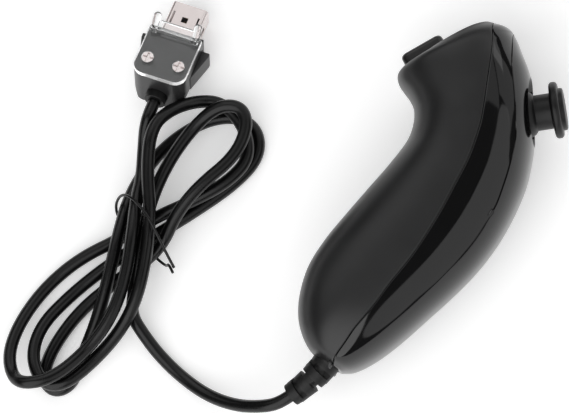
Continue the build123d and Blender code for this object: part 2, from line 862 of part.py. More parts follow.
def route_points(edges, step):
    """Points along a route with their distance from its start."""
    points = []
    travelled = 0
    for edge in edges:
        count = max(2, round(edge.length / step))
        for index in range(count):
            share = index / count
            points.append((travelled + edge.length * share, edge @ share))
        travelled += edge.length
    return points, travelled


def least_gap(points, bore, apart):
    """Least gap of a tube to itself, between places further apart along it than given."""
    least = None
    where = None
    for index, (run_a, a) in enumerate(points):
        for run_b, b in points[index + 1:]:
            if run_b - run_a > apart:
                gap = (a - b).length - bore
                if least is None or gap < least:
                    least = gap
                    where = (a, b)
    return least, where


def gap_between(points_a, points_b, bore):
    """Least gap between two tubes, from points on their routes."""
    least = None
    where = None
    for run_a, a in points_a:
        for run_b, b in points_b:
            gap = (a - b).length - bore
            if least is None or gap < least:
                least = gap
                where = (a, b)
    return least, where


def lead_route(start, heading, first_run, corners, end, arrival, last_run):
    """Corner points of a free stretch that leaves and arrives square to its ends."""
    points = [start, start + heading * first_run]
    points.extend(Vector(*corner) for corner in corners)
    points.append(end - arrival * last_run)
    points.append(end)
    return points


def make_cords(boot_end, boot_heading, plug_exit, plug_heading_out):
    """Both free stretches and the hank between them."""
    edges = hank_edges()
    hank_path = Wire(edges)
    hank = tube(hank_path, cord_bore)
    head = edges[0] @ 0
    head_turn = edges[0] % 0
    tail = edges[-1] @ 1
    tail_turn = edges[-1] % 1
    lead = lead_route(boot_end, boot_heading, lead_first_run, lead_corners, tail, tail_turn * -1, lead_last_run)
    lead_path, lead_radii = rounded_path(lead, arc_share)
    near = lead_route(plug_exit, plug_heading_out, plug_lead_first_run, plug_lead_corners, head, head_turn,
                      plug_lead_last_run)
    near_path, near_radii = rounded_path(near, arc_share)
    solids = [tube(lead_path, cord_bore), hank, tube(near_path, cord_bore)]
    section = math.pi * cord_bore * cord_bore / 4
    for name, path, solid in zip(("cord_lead", "cord_hank", "cord_plug_lead"),
                                 (lead_path, hank_path, near_path), solids):
        ideal = section * path.length
        print(name, "length", round(path.length, 1), "volume", round(solid.volume, 1), "of", round(ideal, 1),
              "lowest", round(solid.bounding_box().min.Z, 2))
    print("lead radii", [round(r, 1) for r in lead_radii])
    print("plug lead radii", [round(r, 1) for r in near_radii])
    step = cord_bore / 3
    points, travelled = route_points(edges, step)
    gap, where = least_gap(points, cord_bore, 2.4 * cord_bore)
    print("hank gap to itself", round(gap, 2), "at", where, "turn radii from",
          round(min(edge.radius for edge in edges[1:-1]), 2))
    for name, path in (("lead", lead_path), ("plug lead", near_path)):
        run, reach = route_points(path.edges(), step)
        inner = [item for item in points if 3 * cord_bore < item[0] < travelled - 3 * cord_bore]
        gap, where = gap_between(run, inner, cord_bore)
        print(name, "gap to hank", round(gap, 2), "at", where)
    return solids


def plug_frame():
    """Frame at the bottom of the plug's rear face: X to its right, Y to its mouth, Z to its clear side."""
    turn = math.radians(plug_heading)
    dip = math.radians(plug_dip)
    right = Vector(math.cos(turn), math.sin(turn), 0)
    forward = Vector(-math.sin(turn) * math.cos(dip), math.cos(turn) * math.cos(dip), -math.sin(dip))
    return Plane(origin=Vector(plug_x, plug_y, plug_z), x_dir=right, z_dir=right.cross(forward))


def plug_block(inset):
    """Plug body with rounded rear corners and tapered lower sides, drawn in by the inset."""
    width = plug_width - 2 * inset
    length = plug_length - 2 * inset
    plan = Rectangle(width, length)
    plan = fillet(plan.vertices().sort_by(Axis.Y)[:2], plug_corner - inset)
    body = Pos(0, plug_length / 2, inset) * extrude(plan, plug_height - 2 * inset)
    half = width / 2
    narrow = half - plug_taper
    side = [(-narrow, inset), (narrow, inset), (half, plug_taper_height), (half, plug_height),
            (-half, plug_height), (-half, plug_taper_height)]
    face = Plane.XZ * make_face(Polyline(*side, close=True))
    taper = Pos(0, plug_length + overrun, 0) * extrude(face, plug_length + 2 * overrun)
    return body & taper


def make_plug():
    """Housing halves, clear hook plate, screws, shield, contacts, release buttons and cord collar."""
    shell = plug_block(0) - plug_block(plug_wall)
    top = plug_height - shield_drop
    low = top - shield_height
    half = shield_width / 2 + running_fit
    shell -= block(-half, half, plug_length - plug_wall - overrun, plug_length + overrun, low - running_fit,
                   top + running_fit)
    hole = Pos(0, 0, cord_exit_height) * Rot(-90, 0, 0) * rod(collar_bore / 2 + running_fit, -overrun,
                                                            plug_wall + overrun)
    shell -= hole
    release_top = release_low + release_height
    gap = slide_gap
    for side_sign in (-1, 1):
        near = side_sign * (plug_width / 2 - plug_wall - plug_taper - overrun)
        far = side_sign * (plug_width / 2 + overrun)
        shell -= block(min(near, far), max(near, far), release_back - gap, release_back + release_length + gap,
                       release_low - gap, release_top + gap)
    screw_seat = plug_height + clear_thickness - plug_screw_head_height
    for side_sign in (-1, 1):
        x = side_sign * plug_screw_side
        y = plug_screw_back
        post = rod(plug_post_bore / 2, release_top + gap, plug_height - plug_wall / 2, x, y)
        shell += post & plug_block(0)
        shell -= rod(plug_screw_bore / 2 + running_fit, release_top, plug_height + overrun, x, y)
    span = plug_width + plug_length
    lower = shell & block(-span, span, -span, span, -overrun, plug_seam)
    upper = shell & block(-span, span, -span, span, plug_seam, plug_height + overrun)

    plan = Rectangle(plug_width, clear_length)
    plan = fillet(plan.vertices().sort_by(Axis.Y)[:2], plug_corner)
    plate = Pos(0, clear_length / 2, plug_height) * extrude(plan, clear_thickness)
    rise = plug_height + clear_thickness
    foot = Vector(0, clear_length - hook_width, rise - hook_width / 2)
    head = Vector(0, clear_length - hook_width + hook_reach, rise + hook_rise - hook_width / 2)
    lean = (head - foot).normalized()
    tall = (head - foot).length
    for side_sign in (-1, 1):
        x = side_sign * hook_spread / 2
        stand = Plane(origin=foot + Vector(x, 0, 0), x_dir=Vector(1, 0, 0), z_dir=lean)
        post = rod(hook_width / 2, 0, tall) + Pos(0, 0, tall) * Sphere(hook_width / 2)
        plate += placed(stand, post)
    stand = Plane(origin=foot + lean * (tall / 2), x_dir=Vector(1, 0, 0), z_dir=lean)
    bar = block(-hook_spread / 2, hook_spread / 2, -hook_bar_height / 2, hook_bar_height / 2,
                -hook_bar_width / 2, hook_bar_width / 2)
    plate += placed(stand, bar)
    body = block(-span, span, -span, span, plug_seam, plug_height)
    plate -= body & plug_block(0)
    screws = []
    for side_sign in (-1, 1):
        x = side_sign * plug_screw_side
        y = plug_screw_back
        plate -= rod(plug_screw_head / 2 + running_fit, screw_seat, rise + overrun, x, y)
        plate -= rod(plug_screw_bore / 2 + running_fit, plug_height - overrun, rise, x, y)
        screws.append(Pos(x, y, screw_seat) * slotted_screw(plug_screw_bore, plug_screw_length,
                                                          plug_screw_head, plug_screw_head_height,
                                                          plug_screw_slot))

    middle = (top + low) / 2
    mouth = plug_length + shield_reach
    turn = Pos(0, shield_inside, middle) * Rot(-90, 0, 0)
    skin = extrude(RectangleRounded(shield_width, shield_height, shield_corner), mouth - shield_inside)
    inner_width = shield_width - 2 * shield_wall
    inner_height = shield_height - 2 * shield_wall
    bore = extrude(RectangleRounded(inner_width, inner_height, shield_corner - shield_wall),
                   mouth - shield_inside + 2 * overrun)
    shield = turn * skin - Pos(0, -overrun, 0) * (turn * bore)
    window = plug_length + shield_reach / 2
    half = shield_window / 2
    shield -= block(-half, half, window - half, window + half, top - 2 * shield_wall, top + overrun)
    for side_sign in (-1, 1):
        x = side_sign * (shield_width / 2 - shield_corner - shield_slit)
        shield -= block(x - shield_slit / 2, x + shield_slit / 2, window - shield_slit_length / 2,
                        window + shield_slit_length / 2, top - 2 * shield_wall, top + overrun)
    side = shield_side_window / 2
    shield -= block(-shield_width, shield_width, window - side, window + side, middle - half, middle + half)

    fit = running_fit
    base_end = plug_length - plug_wall
    contact = block(-inner_width / 2 + fit, inner_width / 2 - fit, shield_inside + seat_gap, base_end,
                    middle - inner_height / 2 + fit, middle + inner_height / 2 - fit)
    contact -= block(-inner_width, inner_width, shield_inside, base_end + overrun, middle + inner_height / 2
                     - shield_corner, middle + inner_height)
    contact -= block(-inner_width, inner_width, shield_inside, base_end + overrun, middle - inner_height,
                     middle - inner_height / 2 + shield_corner)
    contact += block(-tongue_width / 2, tongue_width / 2, base_end - overrun, mouth - tongue_inset,
                     middle - tongue_height / 2, middle + tongue_height / 2)
    strips = []
    for column in (-1, 0, 1):
        x = column * contact_pitch
        start = base_end + seat_gap
        high = middle + tongue_height / 2
        deep = middle - tongue_height / 2
        strips.append(block(x - contact_width / 2, x + contact_width / 2, start, start + contact_length, high,
                            high + contact_thickness))
        strips.append(block(x - contact_width / 2, x + contact_width / 2, start, start + contact_length,
                            deep - contact_thickness, deep))

    inner = plug_width / 2 - release_wall
    outer = plug_width / 2
    end = release_back + release_length
    outline = [(inner, release_back), (outer, release_back), (outer + release_proud, end - release_wall),
               (outer + release_proud, end), (inner, end)]
    wedge = extrude(make_face(Polyline(*outline, close=True)), release_height)
    right = Pos(0, 0, release_low) * wedge
    left = mirror(right, about=Plane.YZ)
    collar = rod(collar_bore / 2, -collar_length, plug_wall + seat_gap)
    collar += rod(collar_flange_bore / 2, plug_wall + seat_gap, plug_wall + seat_gap + collar_flange_thickness)
    collar = Pos(0, 0, cord_exit_height) * Rot(-90, 0, 0) * collar
    frame = plug_frame()
    forward = frame.y_dir
    exit_point = frame.from_local_coords(Vector(0, -collar_length, cord_exit_height))
    named = {
        "plug_lower_housing": [lower],
        "plug_upper_housing": [upper],
        "plug_hook_plate": [plate],
        "plug_screws": screws,
        "plug_shield": [shield],
        "plug_contact_block": [contact],
        "plug_contacts": strips,
        "release_button_left": [left],
        "release_button_right": [right],
        "plug_cord_collar": [collar],
    }
    moved = {}
    for name, shapes in named.items():
        moved[name] = [placed(frame, shape) for shape in shapes]
    return moved, exit_point, forward * -1


# Twist tie round the waist of the hank: corners of its ring from the tie, as it lies, and its twisted ends.
tie_corners = [
    (15.6, -9.4, 11.6),
    (12.6, -7.0, 12.6),
    (8.6, -3.6, 15.2),
    (3.6, 0.8, 17.4),
    (-2.6, 4.2, 16.0),
    (-7.8, 4.9, 12.2),
    (-9.8, 1.4, 4.2),
    (-6.0, -2.4, 0.43),
    (4.0, -6.2, 0.43),
    (11.6, -8.9, 2.6),
    (12.8, -8.3, 8.6),
    (15.4, -10.6, 9.6),
]


def make_tie():
    """Ring of wire round the bundle, open where its two ends stand out side by side."""
    points = [Vector(tie_x + x, tie_y + y, z) for x, y, z in tie_corners]
    path, radii = rounded_path(points, arc_share)
    print("tie length", round(path.length, 1), "radii", [round(r, 1) for r in radii])
    return tube(path, tie_bore), path


def make_wires(root, mouth):
    """Insulated wires from the strain relief past the bosses to the connector."""
    lean = stick_plane.z_dir
    wires = []
    depth = boot_flange_depth + boot_flange_thickness
    lane = shell_screw_head / 2 + shell_boss_wall + 4 * wire_bore
    run = boot_length / 3
    for index in range(wire_count):
        offset = (index - (wire_count - 1) / 2) * wire_pitch
        start = root.from_local_coords(Vector(0, offset, -depth))
        points = [start, start - root.z_dir * run]
        for across, along in wire_route_shares:
            points.append(Vector(across * half_depth, along * half_length, lane + offset))
        end = mouth[index]
        points.append(end - lean * run)
        points.append(end)
        path, radii = rounded_path(points, arc_share)
        wires.append(tube(path, wire_bore))
    return wires


def shell_screws():
    """Two screws from the finger side into the thumb side."""
    screws = []
    for share in shell_screw_shares:
        y = share * half_length
        x = seam_x(y)
        seat = x - shell_screw_seat
        shape = slotted_screw(shell_screw_bore, shell_screw_seat + shell_screw_grip, shell_screw_head,
                              shell_screw_head_height, shell_screw_slot)
        screws.append(Pos(seat, y, 0) * Rot(0, -90, 0) * shape)
    return screws


def build_all():
    """Every piece by node name, in the frame of the table before the origin is set."""
    lift = Pos(0, 0, half_width)
    thumb, finger, strain, end, heading = make_shells()
    foot, start, arc = boot_frame()
    root = Plane(origin=foot, x_dir=Vector(0, 0, 1).cross(start), z_dir=start)
    board, board_screws, domes = make_button_board()
    plate, spring = make_spring_set()
    lower, side = make_potentiometers()
    main, main_screws, parts, mouth = make_main_board()
    pieces = {
        "thumb_shell": [thumb],
        "finger_shell": [finger],
        "shell_screws": shell_screws(),
        "strain_relief": [strain],
        "z_button": [make_z_button()],
        "c_button": [make_c_button()],
        "button_board": [board],
        "button_board_screws": board_screws,
        "z_button_dome": [domes[0]],
        "c_button_dome": [domes[1]],
        "stick_cap": [make_stick_cap()],
        "stick_shaft": [make_stick_shaft()],
        "gimbal_ring": [make_gimbal_ring()],
        "slotted_yoke": [make_slotted_yoke()],
        "stick_housing": [make_housing()],
        "spring_plate": [plate],
        "centring_spring": [spring],
        "lower_potentiometer": [lower[0]],
        "lower_wiper": [lower[1]],
        "side_potentiometer": [side[0]],
        "side_wiper": [side[1]],
        "main_board": [main[0]],
        "controller_chip": [main[1]],
        "motion_sensor": [main[2]],
        "cable_connector": [main[3]],
        "main_board_screws": main_screws,
        "board_components": parts,
        "inner_wires": make_wires(root, mouth),
    }
    for name in pieces:
        pieces[name] = [lift * shape for shape in pieces[name]]
    plug, exit_point, away = make_plug()
    pieces.update(plug)
    cords = make_cords(end + Vector(0, 0, half_width), heading, exit_point, away)
    pieces["cord_lead"] = [cords[0]]
    pieces["cord_hank"] = [cords[1]]
    pieces["cord_plug_lead"] = [cords[2]]
    pieces["twist_tie"] = [make_tie()[0]]
    return pieces


cord_names = ["cord_lead", "cord_hank", "cord_plug_lead", "twist_tie", "strain_relief", "plug_lower_housing",
              "plug_upper_housing", "plug_hook_plate", "plug_screws", "plug_shield", "plug_contact_block",
              "plug_contacts", "release_button_left", "release_button_right", "plug_cord_collar"]


def single_solids(shapes):
    """The solids of a list of shapes, flattened."""
    solids = []
    for shape in shapes:
        solids.extend(shape.solids())
    return solids


def set_origin(pieces):
    """Move everything so that the object without its cord stands centred on the origin."""
    own = [solid for name, shapes in pieces.items() if name not in cord_names for solid in single_solids(shapes)]
    box = Compound(children=own).bounding_box()
    shift = Vector(-(box.min.X + box.max.X) / 2, -(box.min.Y + box.max.Y) / 2, -box.min.Z)
    return {name: [Pos(*shift) * solid for solid in single_solids(shapes)] for name, shapes in pieces.items()}, shift


if __name__ == "__main__":
    os.makedirs("parts", exist_ok=True)
    placed_pieces, origin_shift = set_origin(build_all())
    print("origin shift", [round(value, 3) for value in origin_shift])
    for node, node_solids in placed_pieces.items():
        whole = node_solids[0] if len(node_solids) == 1 else Compound(children=node_solids)
        whole.label = node
        export_step(whole, os.path.join("parts", node + ".step"))
        print(node, len(node_solids), round(sum(solid.volume for solid in node_solids), 1))
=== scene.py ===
"""Dressed scene of a motion controller wand: handset, thumbstick, finger buttons, tied cord and plug."""
import json
import logging
import math
from contextlib import contextmanager
from dataclasses import dataclass
from enum import Enum
from typing import Callable, Iterator, Mapping, Sequence

import bmesh
import bpy
from mathutils import Matrix, Vector


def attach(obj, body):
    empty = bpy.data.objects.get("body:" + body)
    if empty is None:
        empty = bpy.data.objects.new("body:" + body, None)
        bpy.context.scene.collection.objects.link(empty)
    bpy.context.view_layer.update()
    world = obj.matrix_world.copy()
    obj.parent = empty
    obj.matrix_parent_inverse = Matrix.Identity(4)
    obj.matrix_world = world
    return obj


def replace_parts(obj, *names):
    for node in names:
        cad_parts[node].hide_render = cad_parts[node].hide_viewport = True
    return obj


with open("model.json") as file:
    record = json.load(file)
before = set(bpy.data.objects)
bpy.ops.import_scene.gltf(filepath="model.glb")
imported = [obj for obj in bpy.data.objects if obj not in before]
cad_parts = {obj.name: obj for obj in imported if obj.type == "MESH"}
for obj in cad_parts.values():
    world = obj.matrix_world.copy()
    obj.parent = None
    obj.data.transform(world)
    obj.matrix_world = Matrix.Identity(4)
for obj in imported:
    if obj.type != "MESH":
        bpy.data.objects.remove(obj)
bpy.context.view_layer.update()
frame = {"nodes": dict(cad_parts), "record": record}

MM = 0.001
LOG = logging.getLogger("wand")
Pair = tuple[float, float]
Triple = tuple[float, float, float]
Piece = bpy.types.Object
X_AXIS, Y_AXIS, Z_AXIS = (Vector(row) for row in Matrix.Identity(3))

# Where the grip's own frame stands in the shared frame, and half its length and depth, in millimetres.
GRIP_ORIGIN = Vector((-1.832, -0.224, 19.114))
HALF_LENGTH = 56.4
HALF_DEPTH = 24.2

# Headings in the side view, in degrees from +X: the stick's axis, and the way that the buttons' face looks.
STICK_HEADING = 31.5
FACE_HEADING = 142.93


class Cut(Enum):
    """How one closed mesh acts on another."""

    AWAY = "DIFFERENCE"
    TOGETHER = "UNION"
    COMMON = "INTERSECT"


class Side(Enum):
    """Half of the grip that a skin belongs to."""

    THUMB = "thumb"
    FINGER = "finger"
    WHOLE = "whole"


# Handwork on meshes


class Bench:
    """Mesh work on one piece at a time with Blender's own operators.

    WELD, TURNED_WELD and SHEET_WELD are the distances below which places are merged, in millimetres. Faces
    that meet at less than FLAT degrees are joined, edges sharper than CRISP degrees are rounded, and edges
    below SMOOTH degrees are shaded smooth.
    """

    WELD = 0.001
    TURNED_WELD = 0.002
    SHEET_WELD = 0.004
    FLAT = 0.6
    CRISP = 32.0
    SMOOTH = 38.0

    @staticmethod
    def clear() -> None:
        """Leave edit mode and select nothing."""
        if bpy.context.mode != "OBJECT":
            bpy.ops.object.mode_set(mode="OBJECT")
        bpy.ops.object.select_all(action="DESELECT")

    @staticmethod
    def take(piece: Piece) -> Piece:
        """Select one piece alone, make it active and give it back.

        Args:
            piece: The piece to work on.

        Returns:
            The same piece.
        """
        Bench.clear()
        piece.select_set(True)
        bpy.context.view_layer.objects.active = piece
        return piece

    @staticmethod
    def fresh(name: str) -> Piece:
        """Name the primitive that was just added and take it.

        Args:
            name: Name of the new piece.

        Returns:
            The new piece.
        """
        piece = bpy.context.active_object
        piece.name = piece.data.name = name
        return Bench.take(piece)

    @staticmethod
    @contextmanager
    def editing(piece: Piece, kind: str = "VERT") -> Iterator[bmesh.types.BMesh]:
        """Edit a piece with all of its mesh selected, and leave edit mode afterwards.

        Args:
            piece: The piece to edit.
            kind: What is selected: places or edges.

        Yields:
            The piece's mesh.
        """
        Bench.take(piece)
        bpy.ops.object.mode_set(mode="EDIT")
        bpy.ops.mesh.select_mode(type=kind)
        bpy.ops.mesh.select_all(action="SELECT")
        work = bmesh.from_edit_mesh(piece.data)
        work.verts.ensure_lookup_table()
        yield work
        bpy.ops.object.mode_set(mode="OBJECT")

    @staticmethod
    def seal(weld: float) -> None:
        """Merge places closer than some millimetres in the edited mesh, and turn every face outwards.

        Args:
            weld: Distance below which places are merged, in millimetres.
        """
        bpy.ops.mesh.select_all(action="SELECT")
        bpy.ops.mesh.remove_doubles(threshold=weld * MM)
        bpy.ops.mesh.normals_make_consistent(inside=False)

    @staticmethod
    def place(piece: Piece, spot: Matrix) -> Piece:
        """Move a piece and put its place into its mesh.

        Args:
            piece: The piece to move.
            spot: Its frame in the shared frame.

        Returns:
            The same piece, with its object at the origin.
        """
        Bench.take(piece)
        piece.matrix_world = spot
        bpy.ops.object.transform_apply(location=True, rotation=True, scale=True)
        return piece

    @staticmethod
    def finish(piece: Piece, kind: str, **settings: object) -> None:
        """Add one modifier and apply it.

        Args:
            piece: The piece that gets it.
            kind: The modifier's type.
            **settings: Its values.
        """
        Bench.take(piece)
        modifier = piece.modifiers.new(kind.lower(), kind)
        for key, value in settings.items():
            setattr(modifier, key, value)
        bpy.ops.object.modifier_apply(modifier=modifier.name)

    @staticmethod
    def smooth(piece: Piece, degrees: float) -> None:
        """Shade smooth, apart from edges sharper than an angle, and weigh the normals by face size.

        Args:
            piece: The piece to shade.
            degrees: Edges sharper than this stay crisp.
        """
        Bench.take(piece)
        bpy.ops.object.shade_smooth_by_angle(angle=math.radians(degrees))
        Bench.finish(piece, "WEIGHTED_NORMAL", keep_sharp=True, weight=80)

    @staticmethod
    def carve(piece: Piece, tool: Piece, cut: Cut) -> None:
        """Cut a piece with a closed tool mesh and throw the tool away.

        Args:
            piece: The piece to cut.
            tool: The closed mesh that cuts it.
            cut: What is done with the two.
        """
        Bench.finish(piece, "BOOLEAN", object=tool, operation=cut.value, solver="EXACT")
        bpy.data.objects.remove(tool, do_unlink=True)

    @staticmethod
    def lathe(name: str, profile: Sequence[Pair], steps: int = 72) -> Piece:
        """Turn a profile round the Z axis.

        Args:
            name: Name of the piece.
            profile: Radius and height of each corner, in millimetres.
            steps: Number of steps round.

        Returns:
            The turned piece, with its poles closed.
        """
        Bench.clear()
        bpy.ops.mesh.primitive_plane_add(size=MM)
        piece = Bench.fresh(name)
        places = [Vector((radius, 0.0, height)) * MM for radius, height in profile]
        with Bench.editing(piece):
            bpy.ops.mesh.merge(type="CENTER")
            bpy.ops.transform.translate(value=places[0])
            for here, there in zip(places, places[1:]):
                bpy.ops.mesh.extrude_vertices_move(TRANSFORM_OT_translate={"value": there - here})
            bpy.ops.mesh.select_all(action="SELECT")
            bpy.ops.mesh.spin(steps=steps, angle=math.tau, center=(0, 0, 0), axis=(0, 0, 1),
                              use_auto_merge=True)
            Bench.seal(Bench.TURNED_WELD)
        return piece

    @staticmethod
    def rod(name: str, radius: float, low: float, high: float, steps: int) -> Piece:
        """Turn a plain rod between two heights on the Z axis.

        Args:
            name: Name of the piece.
            radius: Its radius, in millimetres.
            low: Height of its foot.
            high: Height of its top.
            steps: Number of steps round.

        Returns:
            The rod.
        """
        return Bench.lathe(name, ((0, low), (radius, low), (radius, high), (0, high)), steps)

    @staticmethod
    def prism(name: str, outline: Sequence[Pair], low: float, high: float) -> Piece:
        """Raise a flat outline into a prism along Z.

        Args:
            name: Name of the piece.
            outline: Corners of the outline, in millimetres.
            low: Height of its foot.
            high: Height of its top.

        Returns:
            The prism.
        """
        Bench.clear()
        bpy.ops.mesh.primitive_circle_add(vertices=len(outline), radius=MM, fill_type="NGON")
        piece = Bench.fresh(name)
        with Bench.editing(piece) as work:
            for vertex, (x, y) in zip(work.verts, outline):
                vertex.co = Vector((x, y, low)) * MM
            bmesh.update_edit_mesh(piece.data)
            bpy.ops.mesh.extrude_region_move(TRANSFORM_OT_translate={"value": (0, 0, (high - low) * MM)})
            Bench.seal(Bench.WELD)
        return piece

    @staticmethod
    def bevel(piece: Piece, choose: Callable[[Vector, Vector], bool], width: float, steps: int) -> None:
        """Round the chosen edges of a piece.

        Args:
            piece: The piece.
            choose: Says from an edge's middle and heading, in millimetres, if it is rounded.
            width: Width of the rounding, in millimetres.
            steps: Steps across the rounding.
        """
        with Bench.editing(piece, "EDGE") as work:
            bpy.ops.mesh.select_all(action="DESELECT")
            for edge in work.edges:
                a, b = (vertex.co / MM for vertex in edge.verts)
                if choose((a + b) / 2, (b - a).normalized()):
                    edge.select_set(True)
            bmesh.update_edit_mesh(piece.data)
            bpy.ops.mesh.bevel(offset=width * MM, segments=steps, profile=0.5, affect="EDGES")

    @staticmethod
    def sheet(name: str, rows: Sequence[Sequence[Vector]]) -> Piece:
        """Stretch a grid primitive over rows of places.

        Args:
            name: Name of the piece.
            rows: Rows of places, in millimetres, all of the same length.

        Returns:
            The stretched grid, with equal places merged.
        """
        Bench.clear()
        across = len(rows[0])
        bpy.ops.mesh.primitive_grid_add(x_subdivisions=across - 1, y_subdivisions=len(rows) - 1, size=1.0)
        piece = Bench.fresh(name)
        with Bench.editing(piece) as work:
            for index, vertex in enumerate(sorted(work.verts, key=lambda v: (round(v.co.y, 5), v.co.x))):
                vertex.co = rows[index // across][index % across] * MM
            bmesh.update_edit_mesh(piece.data)
            Bench.seal(Bench.SHEET_WELD)
        return piece

    @staticmethod
    def recast(node: str, name: str, width: float) -> Piece:
        """Copy a CAD node, join its loose triangles, round its crisp edges and put the copy in its place.

        Args:
            node: The CAD node.
            name: Name of the new piece.
            width: Width of the rounding, in millimetres.

        Returns:
            The new piece, which replaces the node.
        """
        source = frame["nodes"][node]
        piece = source.copy()
        piece.data = source.data.copy()
        piece.name = piece.data.name = name
        piece.data.materials.clear()
        for key in list(piece.keys()):
            if key.startswith("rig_"):
                del piece[key]
        bpy.context.scene.collection.objects.link(piece)
        piece.parent = None
        piece.matrix_world = Matrix.Identity(4)
        with Bench.editing(piece):
            bpy.ops.mesh.remove_doubles(threshold=Bench.WELD * MM)
            bpy.ops.mesh.dissolve_limited(angle_limit=math.radians(Bench.FLAT))
        Bench.finish(piece, "BEVEL", width=width * MM, segments=2, limit_method="ANGLE",
                     angle_limit=math.radians(Bench.CRISP), use_clamp_overlap=True, harden_normals=False)
        Bench.smooth(piece, Bench.SMOOTH)
        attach(piece, body_of(node))
        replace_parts(piece, node)
        return piece


def body_of(node: str) -> str:
    """Name of the body that a CAD node rides on."""
    return next(body for body, members in frame["record"]["behaviour"]["bodies"].items() if node in members)


def turned(degrees: float) -> Vector:
    """Unit vector in the side view at an angle from +X."""
    return Vector((math.cos(math.radians(degrees)), math.sin(math.radians(degrees)), 0.0))


def arc(radius: float, first: float, last: float, steps: int) -> list[Pair]:
    """Places on a circle round the origin, from one angle to another, both included.

    Args:
        radius: Radius of the circle.
        first: First angle, in radians.
        last: Last angle.
        steps: Steps between the two.

    Returns:
        The places.
    """
    angles = (first + (last - first) * step / steps for step in range(steps + 1))
    return [(radius * math.cos(angle), radius * math.sin(angle)) for angle in angles]


def axes(across: Vector, along: Vector, outward: Vector) -> Matrix:
    """Turn whose X, Y and Z axes are given."""
    return Matrix((across, along, outward)).transposed().to_4x4()


def spot(origin: Vector, across: Vector, outward: Vector) -> Matrix:
    """Frame in metres, from its origin in millimetres, its X axis and its Z axis.

    Args:
        origin: Its origin, in millimetres.
        across: Its X axis.
        outward: Its Z axis.

    Returns:
        The frame.
    """
    return Matrix.Translation(origin * MM) @ axes(across, outward.cross(across), outward)


def rounded_outline(length: float, width: float, corner: float, steps: int = 8) -> list[Pair]:
    """Outline of a rectangle with round corners, centred on the origin.

    Args:
        length: Its size along X, in millimetres.
        width: Its size along Y.
        corner: Radius of its corners.
        steps: Steps round each corner.

    Returns:
        The corners of the outline.
    """
    points = []
    for quarter, (sx, sy) in enumerate(((1, 1), (-1, 1), (-1, -1), (1, -1))):
        for step in range(steps + 1):
            angle = math.pi / 2 * (quarter + step / steps)
            points.append((sx * (length / 2 - corner) + corner * math.cos(angle),
                           sy * (width / 2 - corner) + corner * math.sin(angle)))
    return points


def through(points: Sequence[Sequence[float]], place: float) -> list[float]:
    """Value on a smooth run through rows of numbers.

    Args:
        points: Rows of equal length.
        place: Row number, with its share of the way to the next row.

    Returns:
        The row at that place.
    """
    last = len(points) - 1
    index = min(max(int(place), 0), last - 1)
    t = place - index
    a, b, c, d = (points[min(max(index + k, 0), last)] for k in (-1, 0, 1, 2))
    if index == 0:
        a = [2 * p - q for p, q in zip(b, c)]
    if index == last - 1:
        d = [2 * q - p for p, q in zip(b, c)]
    return [0.5 * (2 * q + (r - p) * t + (2 * p - 5 * q + 4 * r - s) * t * t
                   + (3 * q - p - 3 * r + s) * t ** 3) for p, q, r, s in zip(a, b, c, d)]


def solve(reading: Callable[[float], float], low: float, high: float) -> float:
    """Place where a reading that starts above nought falls through it.

    Args:
        reading: The reading at a place.
        low: A place where it is above nought.
        high: A place where it is below nought.

    Returns:
        The place between the two.
    """
    for _ in range(40):
        middle = (low + high) / 2
        if reading(middle) > 0:
            low = middle
        else:
            high = middle
    return (low + high) / 2


# Finishes


def add_node(tree: bpy.types.NodeTree, kind: str, values: Mapping[str | int, object] | None = None,
             **settings: object) -> bpy.types.Node:
    """Add a shader node.

    Args:
        tree: The tree that gets it.
        kind: Its type, without the usual beginning.
        values: Values of its inputs.
        **settings: Its own settings, which are made first.

    Returns:
        The node.
    """
    node = tree.nodes.new("ShaderNode" + kind)
    for key, value in settings.items():
        setattr(node, key, value)
    for socket, value in (values or {}).items():
        node.inputs[socket].default_value = value
    return node


def wire(tree: bpy.types.NodeTree,
         *links: tuple[bpy.types.Node, str | int, bpy.types.Node, str | int]) -> None:
    """Link nodes, with each link given as a node, its output, a node and its input.

    Args:
        tree: The tree that holds them.
        *links: A node, its output, the next node and its input, for each link.
    """
    for source, leaving, target, entering in links:
        tree.links.new(source.outputs[leaving], target.inputs[entering])


